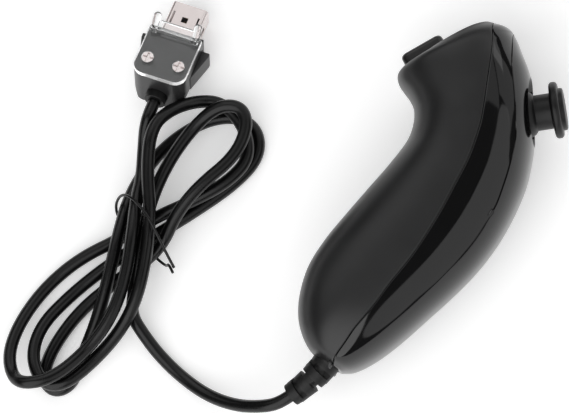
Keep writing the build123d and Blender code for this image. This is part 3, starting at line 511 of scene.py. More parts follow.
class Effects:
    """Shader node groups that the finishes share."""

    def __init__(self) -> None:
        """Build each group once."""
        self.grain = self.moulded_grain()
        self.haze = self.handling_haze()

    @staticmethod
    def group(name: str, inputs: Sequence[tuple[str, str]], outputs: Sequence[tuple[str, str]]
              ) -> tuple[bpy.types.NodeTree, bpy.types.Node, bpy.types.Node]:
        """Make an empty node group with named sockets.

        Args:
            name: Name of the group.
            inputs: Name and kind of each input.
            outputs: Name and kind of each output.

        Returns:
            The group with its input and output nodes.
        """
        tree = bpy.data.node_groups.new(name, "ShaderNodeTree")
        for way, sockets in (("INPUT", inputs), ("OUTPUT", outputs)):
            for label, kind in sockets:
                tree.interface.new_socket(name=label, in_out=way, socket_type="NodeSocket" + kind)
        return tree, tree.nodes.new("NodeGroupInput"), tree.nodes.new("NodeGroupOutput")

    def moulded_grain(self) -> bpy.types.NodeTree:
        """Fine spark-eroded grain with a slow mottling, from a place and a grain size.

        Returns:
            The node group.
        """
        tree, entry, out = self.group("moulded_grain", (("Place", "Vector"), ("Scale", "Float")),
                                      (("Height", "Float"), ("Mottle", "Float")))
        fine = add_node(tree, "TexNoise", {"Detail": 3.0, "Roughness": 0.62})
        pits = add_node(tree, "TexVoronoi", {"Randomness": 1.0})
        slow = add_node(tree, "TexNoise", {"Scale": 130.0, "Detail": 4.0})
        blend = add_node(tree, "Math", {1: 0.45}, operation="MULTIPLY_ADD")
        ramp = add_node(tree, "MapRange", {"From Min": 0.32, "From Max": 0.7})
        wire(tree, *((entry, "Place", node, "Vector") for node in (fine, pits, slow)),
             *((entry, "Scale", node, "Scale") for node in (fine, pits)), (pits, "Distance", blend, 0),
             (fine, "Fac", blend, 2), (slow, "Fac", ramp, "Value"), (blend, 0, out, "Height"),
             (ramp, "Result", out, "Mottle"))
        return tree

    def handling_haze(self) -> bpy.types.NodeTree:
        """Soft patches that hands and cloths leave, as a roughness between its least and its most.

        Returns:
            The node group.
        """
        tree, entry, out = self.group(
            "handling_haze", (("Place", "Vector"), ("Least", "Float"), ("Most", "Float")),
            (("Roughness", "Float"),))
        patches = add_node(tree, "TexNoise", {"Scale": 42.0, "Detail": 5.0, "Distortion": 0.6})
        spread = add_node(tree, "MapRange", {"From Min": 0.35, "From Max": 0.68})
        wire(tree, (entry, "Place", patches, "Vector"), (patches, "Fac", spread, "Value"),
             (entry, "Least", spread, "To Min"), (entry, "Most", spread, "To Max"),
             (spread, "Result", out, "Roughness"))
        return tree


@dataclass(frozen=True)
class Finish:
    """One finish of the object's pieces, as its maker would give it.

    The colour wanders between tone and shade, and the roughness between least and most. The grain has its
    fineness and, in millimetres, its depth. Bending is the index of refraction, and rim the strength of a
    painted glow: white emission on faces that are marked as a rim, standing in for light in a clear edge.
    """

    slot: str
    tone: Triple
    shade: Triple
    least: float
    most: float
    grain: float
    depth: float
    metal: float = 0.0
    clear: float = 0.0
    bending: float = 1.5
    stretch: Triple = (1.0, 1.0, 1.0)
    # Strength of the painted edge glow, an emission standing in for light that a clear edge gathers.
    rim: float = 0.0

    def make(self, effects: Effects) -> bpy.types.Material:
        """Build the finish as a material.

        Args:
            effects: The shared node groups.

        Returns:
            The material.
        """
        material = bpy.data.materials.new(self.slot)
        material.use_nodes = True
        tree = material.node_tree
        shader = tree.nodes["Principled BSDF"]
        shader.inputs["Metallic"].default_value = self.metal
        shader.inputs["IOR"].default_value = self.bending
        shader.inputs["Transmission Weight"].default_value = self.clear
        place = add_node(tree, "TexCoord")
        turn = add_node(tree, "Mapping", {"Scale": self.stretch})
        grain = add_node(tree, "Group", {"Scale": self.grain}, node_tree=effects.grain)
        haze = add_node(tree, "Group", {"Least": self.least, "Most": self.most}, node_tree=effects.haze)
        mix = add_node(tree, "Mix", {"A": (*self.tone, 1.0), "B": (*self.shade, 1.0)}, data_type="RGBA")
        bump = add_node(tree, "Bump", {"Strength": 1.0, "Distance": self.depth * MM})
        wire(tree, (place, "Object", turn, "Vector"), (turn, "Vector", grain, "Place"),
             (place, "Object", haze, "Place"), (grain, "Mottle", mix, "Factor"),
             (mix, "Result", shader, "Base Color"), (haze, "Roughness", shader, "Roughness"),
             (grain, "Height", bump, "Height"), (bump, "Normal", shader, "Normal"))
        # Painted glow: faces marked as a rim emit white light of their own, in place of the light a clear
        # edge gathers.
        if self.rim:
            edge = add_node(tree, "Attribute", attribute_name="rim")
            wire(tree, (edge, "Color", shader, "Emission Color"))
            shader.inputs["Emission Strength"].default_value = self.rim
        return material


class Finishes:
    """All finishes of the object, by the record's slots."""

    ALL = (
        Finish("gloss_black", (0.0028, 0.0028, 0.003), (0.0034, 0.0034, 0.0036), 0.05, 0.09, 3000, 0.0006),
        Finish("satin_black", (0.005, 0.005, 0.0053), (0.0065, 0.0065, 0.0068), 0.35, 0.41, 5600, 0.004),
        Finish("button_black", (0.005, 0.005, 0.0053), (0.007, 0.007, 0.0073), 0.20, 0.28, 5200, 0.003),
        Finish("stick_black", (0.002, 0.002, 0.0021), (0.0035, 0.0035, 0.0036), 0.34, 0.44, 4600, 0.006,
               bending=1.4),
        Finish("rubber_black", (0.002, 0.002, 0.002), (0.0035, 0.0035, 0.0035), 0.42, 0.54, 3800, 0.008,
               bending=1.4),
        Finish("cord_black", (0.0018, 0.0018, 0.0019), (0.0028, 0.0028, 0.003), 0.24, 0.33, 2600, 0.004,
               bending=1.4),
        Finish("grey_rubber", (0.27, 0.27, 0.26), (0.33, 0.33, 0.32), 0.55, 0.65, 3000, 0.008),
        Finish("board_green", (0.008, 0.09, 0.035), (0.014, 0.13, 0.05), 0.28, 0.36, 900, 0.012),
        Finish("chip_black", (0.016, 0.016, 0.018), (0.024, 0.024, 0.026), 0.5, 0.6, 5200, 0.008),
        Finish("white_nylon", (0.72, 0.71, 0.67), (0.78, 0.77, 0.73), 0.4, 0.5, 3600, 0.006),
        Finish("pom_white", (0.68, 0.68, 0.66), (0.74, 0.74, 0.72), 0.3, 0.38, 3600, 0.004),
        Finish("plug_grey", (0.016, 0.016, 0.0165), (0.024, 0.024, 0.0245), 0.30, 0.40, 4200, 0.008),
        # The clear plastic's rim of 0.4 is a painted glow on the plate's side faces.
        Finish("clear_plastic", (0.93, 0.94, 0.94), (0.97, 0.98, 0.98), 0.015, 0.04, 900, 0.0006, clear=1.0,
               bending=1.53, rim=0.4),
        Finish("shield_steel", (0.66, 0.59, 0.58), (0.74, 0.68, 0.67), 0.20, 0.30, 1500, 0.004, metal=1.0,
               stretch=(1.0, 0.12, 1.0)),
        Finish("screw_steel", (0.70, 0.64, 0.63), (0.80, 0.75, 0.74), 0.12, 0.22, 2200, 0.003, metal=1.0),
        Finish("spring_steel", (0.5, 0.5, 0.5), (0.6, 0.6, 0.6), 0.25, 0.35, 2200, 0.004, metal=1.0),
        Finish("gold_contact", (0.79, 0.56, 0.22), (0.86, 0.65, 0.3), 0.16, 0.24, 2200, 0.002, metal=1.0),
        Finish("tan_ceramic", (0.34, 0.25, 0.15), (0.42, 0.31, 0.2), 0.4, 0.5, 4200, 0.006),
        Finish("wire_insulation", (0.42, 0.035, 0.025), (0.5, 0.05, 0.035), 0.35, 0.45, 2600, 0.004),
    )

    def __init__(self) -> None:
        """Make every material once."""
        effects = Effects()
        self.made = {finish.slot: finish.make(effects) for finish in self.ALL}

    def dress(self, piece: Piece, slot: str) -> Piece:
        """Give a piece one finish, as the material of its only slot.

        Args:
            piece: The piece.
            slot: The finish's slot.

        Returns:
            The same piece.
        """
        piece.data.materials.clear()
        piece.data.materials.append(self.made[slot])
        return piece


# Cord


@dataclass
class Cord:
    """Cord from the strain relief through the tied hank to the plug, with the tie round its waist."""

    bore: float = 3.8
    tie_bore: float = 0.85
    length: float = 0.808
    route: tuple[Triple, ...] = (
        (-16.2, -67.9, 16.6), (-18.5, -71.2, 15.5), (-23.0, -73.8, 13.3), (-31.0, -76.0, 8.4),
        (-40.8, -76.1, 4.2), (-50.6, -73.8, 2.0), (-59.2, -70.5, 2.1), (-65.8, -66.8, 3.6),
        (-71.3, -63.0, 4.6), (-72.6, -58.1, 6.4), (-76.3, -44.7, 8.9), (-79.1, -31.0, 8.9),
        (-79.2, -17.2, 8.3), (-76.4, -4.4, 8.0), (-71.6, 2.9, 11.4), (-65.4, 5.1, 11.7),
        (-61.2, 0.5, 11.5), (-61.1, -9.3, 11.2), (-67.2, -21.2, 11.5), (-70.5, -31.2, 9.4),
        (-70.9, -39.7, 6.8), (-73.9, -45.9, 3.1), (-79.9, -55.0, 2.6), (-86.6, -67.7, 2.0),
        (-89.4, -81.0, 2.0), (-88.4, -90.0, 2.0), (-83.4, -92.4, 2.0), (-79.4, -88.3, 2.1),
        (-80.1, -79.0, 2.0), (-79.9, -68.1, 5.1), (-81.4, -56.4, 7.3), (-84.0, -42.8, 8.1),
        (-86.1, -32.4, 5.4), (-85.9, -22.5, 3.1), (-82.8, -11.6, 2.1), (-75.6, -1.2, 2.0),
        (-66.8, 3.7, 2.0), (-59.4, 1.4, 2.0), (-56.4, -5.8, 2.1), (-60.0, -16.0, 2.2),
        (-67.7, -28.2, 2.4), (-76.5, -40.8, 3.0), (-84.9, -53.1, 2.6), (-91.2, -65.0, 2.0),
        (-94.7, -76.2, 4.3), (-93.2, -85.6, 6.0), (-87.2, -91.7, 6.5), (-80.9, -90.4, 7.2),
        (-76.2, -81.4, 6.0), (-71.9, -69.7, 7.0), (-70.4, -59.3, 11.0), (-72.5, -47.5, 11.9),
        (-76.3, -35.2, 13.5), (-82.9, -22.8, 14.2), (-86.4, -11.6, 15.8), (-84.4, -4.2, 12.7),
        (-79.0, 2.4, 7.3), (-71.9, 4.9, 6.5), (-63.1, 0.7, 6.7), (-57.8, -7.2, 6.6),
        (-60.9, -16.4, 6.7), (-68.6, -25.9, 6.3), (-76.5, -33.5, 4.7), (-83.5, -42.6, 2.6),
        (-92.6, -53.2, 3.0), (-98.5, -64.6, 2.2), (-100.8, -76.7, 4.2), (-99.9, -87.1, 6.3),
        (-95.3, -93.7, 7.9), (-89.8, -94.3, 12.0), (-83.2, -89.2, 11.0), (-78.4, -78.7, 8.9),
        (-75.1, -67.3, 11.0), (-75.7, -54.9, 12.0), (-79.3, -41.5, 13.0), (-82.7, -32.0, 11.1),
        (-84.8, -24.5, 7.5), (-86.8, -18.6, 8.7), (-88.0, -15.1, 9.4), (-89.0, -11.1, 11.7),
        (-89.4, -7.1, 12.7), (-89.7, -3.4, 11.4))
    tie_middle: Triple = (-79.532, -36.924, 0.014)
    tie_ring: tuple[Triple, ...] = (
        (15.6, -9.4, 11.6), (12.6, -7.0, 12.6), (8.6, -3.6, 15.2), (3.6, 0.8, 17.4), (-2.6, 4.2, 16.0),
        (-7.8, 4.9, 12.2), (-9.8, 1.4, 4.2), (-6.0, -2.4, 0.43), (4.0, -6.2, 0.43), (11.6, -8.9, 2.6),
        (12.8, -8.3, 8.6), (15.4, -10.6, 9.6))

    @staticmethod
    def line(name: str, points: Sequence[Triple], bore: float) -> Piece:
        """Smooth round line with the points as its control points.

        Args:
            name: Name of the piece.
            points: Control points, in millimetres.
            bore: Its diameter, in millimetres.

        Returns:
            The curve.
        """
        curve = bpy.data.curves.new(name, "CURVE")
        curve.dimensions = "3D"
        curve.bevel_depth = bore / 2 * MM
        curve.bevel_resolution = 6
        curve.resolution_u = 10
        curve.use_fill_caps = True
        spline = curve.splines.new("NURBS")
        spline.points.add(len(points) - 1)
        for point, place in zip(spline.points, points):
            point.co = (*(value * MM for value in place), 1.0)
        spline.order_u = 3
        spline.use_endpoint_u = True
        piece = bpy.data.objects.new(name, curve)
        bpy.context.scene.collection.objects.link(piece)
        return piece

    def build(self, finishes: Finishes) -> None:
        """Make the cord and its tie.

        Args:
            finishes: The object's finishes.
        """
        cord = finishes.dress(self.line("cord", self.route, self.bore), "cord_black")
        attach(cord, "controller")
        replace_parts(cord, "cord_lead", "cord_hank", "cord_plug_lead")
        middle = Vector(self.tie_middle)
        ring = [tuple(middle + Vector(point)) for point in self.tie_ring]
        tie = finishes.dress(self.line("tie", ring, self.tie_bore), "cord_black")
        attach(tie, "controller")
        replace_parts(tie, "twist_tie")
        self.cord, self.tie = cord, tie

    def declare(self) -> None:
        """Log the cord's length, with its tie.
        """
        LOG.info("cord of %.0f mm with its tie", self.length / MM)


# Handset


@dataclass
class Grip:
    """Glossy thumb half and satin finger half of the handset, with the seam and the crease between.

    A section has its front's and its back's place in the side view, and its half width, each as a share of
    the grip's half depth, half length and half width. The seam and the crease are lines in the side view, in
    the same shares. The lip gives offsets along the skin and depths below it, in millimetres, at an edge.
    """

    half_width: float = 19.1
    fullness: float = 2.4
    lean: float = 0.06
    wall: float = 1.7
    seam_gap: float = 0.12
    lip: tuple[Pair, ...] = ((0.42, 0.0), (0.16, 0.05), (0.03, 0.16), (0.0, 0.42))
    under_lip: Pair = (-0.1, 0.95)
    crease_depth: float = 0.42
    crease_half: float = 0.3
    crown: float = 0.3
    probe: float = 0.02
    rows_per_section: int = 6
    whole_columns: int = 64
    finger_columns: int = 46
    thumb_columns: int = 14
    crisp: float = 34.0
    screw_heights: Pair = (-0.560, 0.071)
    screw_radius: float = 2.95
    screw_depth: float = 16.0
    boot_foot: Triple = (-8.107, -54.8208, 0.0)
    boot_heading: Triple = (-0.274966, -0.95892, -0.069756)
    boot_bore: float = 8.8
    sections: tuple[tuple[float, ...], ...] = (
        (-0.124, -1.000, -0.434, -0.982, 0.314), (0.000, -0.968, -0.587, -0.959, 0.534),
        (0.124, -0.910, -0.744, -0.902, 0.681), (0.256, -0.826, -0.876, -0.819, 0.785),
        (0.397, -0.713, -0.963, -0.709, 0.848), (0.562, -0.560, -1.000, -0.567, 0.874),
        (0.727, -0.404, -0.946, -0.408, 0.890), (0.864, -0.248, -0.835, -0.241, 0.906),
        (0.955, -0.089, -0.711, -0.071, 0.921), (0.996, 0.071, -0.603, 0.074, 0.942),
        (0.996, 0.230, -0.521, 0.216, 0.963), (0.950, 0.355, -0.533, 0.312, 0.979),
        (0.864, 0.489, -0.603, 0.387, 0.990), (0.765, 0.604, -0.719, 0.434, 1.000),
        (0.640, 0.703, -0.824, 0.461, 1.000), (0.485, 0.800, -0.900, 0.483, 1.000),
        (0.320, 0.874, -0.942, 0.510, 0.995), (0.190, 0.930, -0.936, 0.529, 0.974),
        (0.066, 0.962, -0.912, 0.538, 0.921), (-0.130, 0.956, -0.815, 0.574, 0.838))
    seam: tuple[Pair, ...] = (
        (-0.150, 1.030), (-0.068, 0.922), (0.035, 0.833), (0.107, 0.745), (0.198, 0.608), (0.273, 0.491),
        (0.322, 0.390), (0.351, 0.230), (0.331, 0.085), (0.293, -0.103), (0.207, -0.332), (0.087, -0.521),
        (0.012, -0.660), (-0.091, -0.801), (-0.150, -0.900), (-0.290, -1.060))
    crease: tuple[Pair, ...] = (
        (0.140, 0.950), (0.190, 0.905), (0.250, 0.850), (0.360, 0.750), (0.515, 0.630), (0.632, 0.525),
        (0.744, 0.417), (0.806, 0.287), (0.835, 0.170), (0.843, 0.050), (0.798, -0.020))

    def __post_init__(self) -> None:
        """Tabulate the seam and the crease by height along the grip."""
        self.seam_table = self.table(self.seam)
        self.crease_table = self.table(self.crease)

    @staticmethod
    def table(points: Sequence[Pair]) -> list[Pair]:
        """Height and place, in millimetres, along a smooth line, from the lowest height up.

        Args:
            points: Points of the line, as shares of half the grip's depth and length.

        Returns:
            Height and place of each row.
        """
        rows = [through(points, step / 10) for step in range((len(points) - 1) * 10 + 1)]
        return sorted((y * HALF_LENGTH, x * HALF_DEPTH) for x, y in rows)

    @staticmethod
    def read(table: Sequence[Pair], y: float) -> float:
        """Place on a tabulated line at a height.

        Args:
            table: Heights and places, in millimetres.
            y: The height.

        Returns:
            The place.
        """
        if y <= table[0][0]:
            return table[0][1]
        for (ya, xa), (yb, xb) in zip(table, table[1:]):
            if y <= yb:
                return xa + (xb - xa) * (y - ya) / max(yb - ya, 1e-9)
        return table[-1][1]

    def place(self, v: float, angle: float, inset: float = 0.0) -> Vector:
        """Place on the grip's skin.

        Args:
            v: Section number, with its share of the way to the next.
            angle: Angle round the section, nought at its front.
            inset: How far the section is drawn in, in millimetres.

        Returns:
            The place in the grip's frame, in millimetres.
        """
        fx, fy, bx, by, width = through(self.sections, v)
        front = Vector((fx * HALF_DEPTH, fy * HALF_LENGTH, 0.0))
        back = Vector((bx * HALF_DEPTH, by * HALF_LENGTH, 0.0))
        along = (front - back).normalized()
        reach = (front - back).length / 2 - inset
        cosine, sine = math.cos(angle), math.sin(angle)
        power = 2 / self.fullness
        forward = math.copysign(abs(cosine) ** power, cosine) * reach + self.lean * reach * sine * sine
        rise = math.copysign(abs(sine) ** power, sine) * (width * self.half_width - inset)
        return (front + back) / 2 + along * forward + Vector((0.0, 0.0, rise))

    def middle(self, v: float) -> Vector:
        """Middle of a section."""
        return (self.place(v, 0.0) + self.place(v, math.pi)) / 2

    def outward(self, v: float, angle: float) -> Vector:
        """Unit normal of the skin, pointing out of the grip.

        Args:
            v: Section number.
            angle: Angle round the section.

        Returns:
            The normal.
        """
        a, b = self.place(v, angle - self.probe), self.place(v, angle + self.probe)
        c, d = self.place(max(v - 0.05, 0), angle), self.place(min(v + 0.05, len(self.sections) - 1), angle)
        normal = (b - a).cross(d - c).normalized()
        return normal if normal.dot(self.place(v, angle) - self.middle(v)) > 0 else -normal

    def pace(self, v: float, angle: float) -> float:
        """Millimetres along a section for each radian, and at least one.

        Args:
            v: Section number.
            angle: Angle round the section.

        Returns:
            The pace.
        """
        across = self.place(v, angle + self.probe) - self.place(v, angle - self.probe)
        return max(across.length / (2 * self.probe), 1.0)

    def ahead(self, v: float, angle: float, line: Sequence[Pair]) -> float:
        """How far a place on the skin lies in front of a tabulated line, in millimetres.

        Args:
            v: Section number.
            angle: Angle round the section.
            line: Heights and places of the line.

        Returns:
            The distance.
        """
        here = self.place(v, angle)
        return here.x - self.read(line, here.y)

    def seam_angle(self, v: float, shift: float) -> float:
        """Angle at which a section meets the seam, moved back by a shift, or nought beyond its end.

        Args:
            v: Section number.
            shift: How far behind the seam, in millimetres.

        Returns:
            The angle.
        """
        if self.ahead(v, 0.0, self.seam_table) + shift <= 0:
            return 0.0
        return solve(lambda angle: self.ahead(v, angle, self.seam_table) + shift, 0.0, math.pi)

    def crease_angle(self, v: float, limit: float) -> Pair:
        """Place of the crease on a section, or of the row that carries it on beyond its ends.

        Args:
            v: Section number.
            limit: Angle that the crease stays in front of.

        Returns:
            The angle, and how deep the crease is there, from nought to one.
        """
        front = self.place(v, 0.0)
        low, high = self.crease_table[0][0], self.crease_table[-1][0]
        if low <= front.y <= high and (
                self.ahead(v, 0.0, self.crease_table) > 0 > self.ahead(v, limit, self.crease_table)):
            fade = min(1.0, (front.y - low) / 5.0, (high - front.y) / 1.5 + 0.2)
            return solve(lambda angle: self.ahead(v, angle, self.crease_table), 0.0, limit), fade
        y = min(max(front.y, low), high)
        edge = self.read(self.seam_table, y)
        nearest = solve(lambda s: y - self.place(s, 0.0).y, 0.0, len(self.sections) - 2.0)
        share = (self.read(self.crease_table, y) - edge) / max(self.place(nearest, 0.0).x - edge, 0.5)
        seam_x = self.read(self.seam_table, front.y)
        goal = seam_x + min(max(share, 0.2), 0.93) * (front.x - seam_x)
        return solve(lambda angle: self.place(v, angle).x - goal, 0.0, limit), 0.0

    def columns(self, v: float, side: Side) -> list[Pair]:
        """Angles and depths of a section's places, from one edge of its skin to the other.

        Args:
            v: Section number.
            side: The skin.

        Returns:
            Angle and depth of each place.
        """
        if side is Side.WHOLE:
            return [(math.tau * step / self.whole_columns, 0.0) for step in range(self.whole_columns + 1)]
        meets = self.seam_angle(v, 0.0 if side is Side.THUMB else self.seam_gap)
        step, room = 1.0 / self.pace(v, meets), min(1.0, meets * 9)
        if side is Side.FINGER:
            start = [(meets + offset * step * room, depth)
                     for offset, depth in reversed((*self.lip, self.under_lip))]
            first, count = start[-1][0], self.finger_columns
            half = start + [(first + (math.pi - first) * k / count, 0.0) for k in range(1, count + 1)]
            return half + [(math.tau - angle, depth) for angle, depth in reversed(half[:-1])]
        angle, fade = self.crease_angle(v, meets * 0.98) if meets > 0.02 else (0.0, 0.0)
        reach = self.crease_half / self.pace(v, angle) * room
        low, high = max(angle - reach, 0.0), angle + reach
        near = meets - self.lip[0][0] * step * room
        high = min(high, (angle + near) / 2) if near > angle else angle
        count = self.thumb_columns
        half = [(low * k / count, 0.0) for k in range(count + 1)]
        half.append((angle, self.crease_depth * fade))
        half += [(high + (max(near, high) - high) * k / count, 0.0) for k in range(count + 1)]
        half += [(max(meets - offset * step * room, high), depth * room) for offset, depth in self.lip[1:]]
        return [(-angle, depth) for angle, depth in reversed(half[1:])] + half

    def chord(self, place: Vector, side: Side) -> Vector:
        """Place that closes the foot of a skin: behind the given one on the seam's plane, or in the middle.

        Args:
            place: A place on the foot's edge.
            side: The skin.

        Returns:
            The place that it is closed towards.
        """
        if side is Side.WHOLE:
            return self.middle(0.0)
        chord = Vector((self.read(self.seam_table, place.y), place.y, place.z))
        chord.x -= self.seam_gap if side is Side.FINGER else 0.0
        return chord

    def skin(self, side: Side, inset: float = 0.0) -> Piece:
        """Smooth skin of one half, or of the whole grip as a closed body.

        Args:
            side: Which skin.
            inset: How far it is drawn in, in millimetres.

        Returns:
            The skin in the shared frame.
        """
        top = len(self.sections) - 1.0
        if side is Side.THUMB:
            top = solve(lambda v: self.ahead(v, 0.0, self.seam_table), 17.0, 19.0)
        stations = [k / self.rows_per_section for k in range(int(top * self.rows_per_section) + 1)]
        if top - stations[-1] > 0.02:
            stations.append(top)
        rows = [[self.place(v, angle, inset) - self.outward(v, angle) * depth
                 for angle, depth in self.columns(v, side)] for v in stations]
        foot = [(place, self.chord(place, side)) for place in rows[0]]
        rows = [[place.lerp(chord, share) for place, chord in foot]
                for share in (1.0, 0.8, 0.5, 0.25, 0.08)] + rows
        if side is not Side.THUMB:
            centre, last = self.middle(top), rows[-1]
            across = (self.place(top, 0.0) - self.place(top, math.pi)).normalized()
            away = Z_AXIS.cross(across).normalized() * (self.crown if side is Side.FINGER else 0.0)
            for share in (0.05, 0.14, 0.3, 0.5, 0.75, 1.0):
                lift = away * (1 - (1 - share) ** 2)
                rows.append([place.lerp(centre, share) + lift for place in last])
        return Bench.sheet(side.value + "_skin", [[place + GRIP_ORIGIN for place in row] for row in rows])

    def boot_socket(self) -> Piece:
        """Round cutter for the strain relief's hole.

        Returns:
            The cutter.
        """
        heading = Vector(self.boot_heading).normalized()
        tool = Bench.rod("socket", self.boot_bore / 2, -9, 9, 48)
        side = Z_AXIS.cross(heading).normalized()
        return Bench.place(tool, spot(Vector(self.boot_foot) + GRIP_ORIGIN, side, heading))

    def screw_bores(self) -> list[Piece]:
        """Cutters for the two deep screw holes of the finger half.

        Returns:
            The cutters.
        """
        tools = []
        for share in self.screw_heights:
            origin = Vector((-HALF_DEPTH - 2.0, share * HALF_LENGTH, 0.0)) + GRIP_ORIGIN
            bore = Bench.rod("bore", self.screw_radius, 0, self.screw_depth, 40)
            tools.append(Bench.place(bore, spot(origin, Y_AXIS, X_AXIS)))
        return tools

    def build(self, finishes: Finishes) -> None:
        """Make both halves with their openings.

        Args:
            finishes: The object's finishes.
        """
        thumb, finger = self.skin(Side.THUMB), self.skin(Side.FINGER)
        well = Bench.place(Bench.lathe("well", Stick.WELL), Stick.frame())
        Bench.carve(well, self.skin(Side.WHOLE, 0.5), Cut.COMMON)
        crater = [Bench.place(tool, Stick.frame()) for tool in (
            Bench.lathe("bowl", Stick.BOWL), Bench.prism("gate", Stick.GATE, *Stick.GATE_HEIGHTS))]
        halves = ((thumb, "thumb_half", [(well, Cut.TOGETHER), *((tool, Cut.AWAY) for tool in crater)]),
                  (finger, "finger_half", [(tool, Cut.AWAY) for tool in Buttons().openings()]))
        for piece, name, tools in halves:
            Bench.finish(piece, "SOLIDIFY", thickness=self.wall * MM, offset=-1.0)
            for tool, cut in (*tools, (self.boot_socket(), Cut.AWAY)):
                Bench.carve(piece, tool, cut)
            piece.name = name
        for tool in self.screw_bores():
            Bench.carve(finger, tool, Cut.AWAY)
        for piece in (thumb, finger):
            Bench.smooth(piece, self.crisp)
        finishes.dress(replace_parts(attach(thumb, "controller"), "thumb_shell"), "gloss_black")
        finishes.dress(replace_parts(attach(finger, "controller"), "finger_shell"), "satin_black")
        LOG.info("grip: %s", {piece.name: len(piece.data.polygons) for piece in (thumb, finger)})


@dataclass
class Buttons:
    """Large lower button and small round button of the slanted end face."""

    length: float = 13.2
    width: float = 17.0
    corner: float = 2.0
    proud: float = 5.1
    near: float = 2.0
    small_bore: float = 7.8
    small_along: float = 22.3
    small_proud: float = 2.2
    slack: float = 0.3
    set_back: float = 2.1
    edge_round: float = 1.2
    crisp: float = 40.0
    foot_large: float = -1.2
    foot_small: float = -1.0

    def frame(self) -> Matrix:
        """Frame of the end face: X along it from the nose, Z outwards.

        Returns:
            The frame.
        """
        nose = Vector((-0.930 * HALF_DEPTH, 0.544 * HALF_LENGTH, 0.0)) + GRIP_ORIGIN
        outward = turned(FACE_HEADING)
        return spot(nose - outward * self.set_back, turned(FACE_HEADING - 90), outward)

    def small_frame(self) -> Matrix:
        """Frame of the small button, on the end face."""
        return self.frame() @ Matrix.Translation((self.small_along * MM, 0, 0))

    def outline(self, slack: float = 0.0) -> list[Pair]:
        """Outline of the large button, or of its opening when there is slack.

        Args:
            slack: Room round the button, in millimetres.

        Returns:
            The corners of the outline.
        """
        middle = self.near + self.length / 2
        return [(x + middle, y) for x, y in rounded_outline(
            self.length + 2 * slack, self.width + 2 * slack, self.corner + slack)]

    def openings(self) -> list[Piece]:
        """Cutters for both openings in the end face.

        Returns:
            The cutters.
        """
        large = Bench.prism("large_opening", self.outline(self.slack), -6.0, 9.0)
        small = Bench.rod("small_opening", self.small_bore / 2 + self.slack, -6, 6, 56)
        return [Bench.place(large, self.frame()), Bench.place(small, self.small_frame())]

    def build(self, finishes: Finishes) -> None:
        """Make both buttons.

        Args:
            finishes: The object's finishes.
        """
        large = Bench.prism("large_button", self.outline(), self.foot_large, self.proud)
        Bench.bevel(large, lambda at, way: abs(at.z - self.proud) < 0.01 and abs(way.z) < 0.5,
                    self.edge_round, 6)
        Bench.place(large, self.frame())
        Bench.smooth(large, self.crisp)
        finishes.dress(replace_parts(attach(large, "large_button"), "z_button"), "button_black")
        radius, top = self.small_bore / 2, self.small_proud
        dome = [(radius * share, top - 0.55 * share ** 2.2) for share in (0.0, 0.2, 0.4, 0.6, 0.75, 0.88)]
        edge = [(radius - 0.16, top - 0.62), (radius - 0.04, top - 0.78), (radius, top - 0.95)]
        foot = [(radius, self.foot_small), (0.0, self.foot_small)]
        small = Bench.place(Bench.lathe("small_button", dome + edge + foot, 64), self.small_frame())
        Bench.smooth(small, self.crisp)
        finishes.dress(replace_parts(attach(small, "small_button"), "c_button"), "button_black")
        LOG.info("two finger buttons")


@dataclass
class Stick:
    """Thumbstick cap with its rim, pad, neck and skirt.

    WELL, BOWL and GATE are the crater's wall, its cutter from the floor up, and the eight-sided opening in
    its floor, which reaches from one of GATE_HEIGHTS to the other.
    """

    WELL = ((6.0, 3.4), (12.5, 3.4), (12.5, 16.0), (6.0, 16.0), (6.0, 3.4))
    BOWL = ((0, 5.2), (9.05, 5.2), (9.25, 5.7), (9.5, 6.5), (9.8, 7.4), (10.2, 8.2), (10.9, 9.1),
            (12.0, 10.4), (13.6, 12.6), (0, 12.6))
    GATE = tuple(arc(9.8, math.pi / 8, math.pi * 15 / 8, 7))
    GATE_HEIGHTS = (1.5, 5.6)

    disc_radius: float = 8.25
    disc_low: float = 13.45
    disc_high: float = 15.95
    pad_radius: float = 6.2
    pad_high: float = 17.3
    neck_radius: float = 5.2
    crisp: float = 50.0

    @staticmethod
    def frame() -> Matrix:
        """Frame at the pivot: Z along the stick."""
        pivot = Vector((0.442 * HALF_DEPTH, 0.537 * HALF_LENGTH, 0.0)) + GRIP_ORIGIN
        return spot(pivot, turned(STICK_HEADING + 90), turned(STICK_HEADING))

    def profile(self) -> list[Pair]:
        """Profile of the cap from the middle of its pad down to the skirt.

        Returns:
            Radius and height of each corner.
        """
        rim, pad, neck = self.disc_radius, self.pad_radius, self.neck_radius
        low, high, top = self.disc_low, self.disc_high, self.pad_high
        return [
            (0.0, top - 0.42), (2.4, top - 0.38), (4.2, top - 0.2), (5.1, top - 0.03), (5.6, top),
            (5.95, top - 0.12), (6.14, top - 0.36), (pad, top - 0.7), (pad + 0.02, high + 0.12),
            (pad + 0.2, high - 0.02), (6.9, high), (7.5, high - 0.05), (7.95, high - 0.3),
            (rim - 0.07, high - 0.65), (rim, high - 1.1), (rim, low + 0.9), (rim - 0.12, low + 0.5),
            (rim - 0.45, low + 0.15), (rim - 0.95, low), (6.3, low), (5.6, low - 0.02), (5.3, low - 0.14),
            (neck, low - 0.4), (neck, 11.0),
            (neck, 8.8), (neck + 0.06, 8.66), (5.6, 8.45), (6.1, 7.95), (6.5, 7.3), (6.75, 6.65),
            (6.85, 6.1), (6.76, 5.86), (6.4, 5.7), (5.9, 5.4), (5.2, 5.05), (4.4, 5.6), (3.0, 6.3),
            (0.0, 6.9)]

    def build(self, finishes: Finishes) -> None:
        """Turn the cap.

        Args:
            finishes: The object's finishes.
        """
        cap = Bench.place(Bench.lathe("thumb_cap", self.profile(), 96), self.frame())
        Bench.smooth(cap, self.crisp)
        finishes.dress(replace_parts(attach(cap, "stick"), "stick_cap"), "stick_black")
        LOG.info("thumbstick cap")


# Plug and the rest


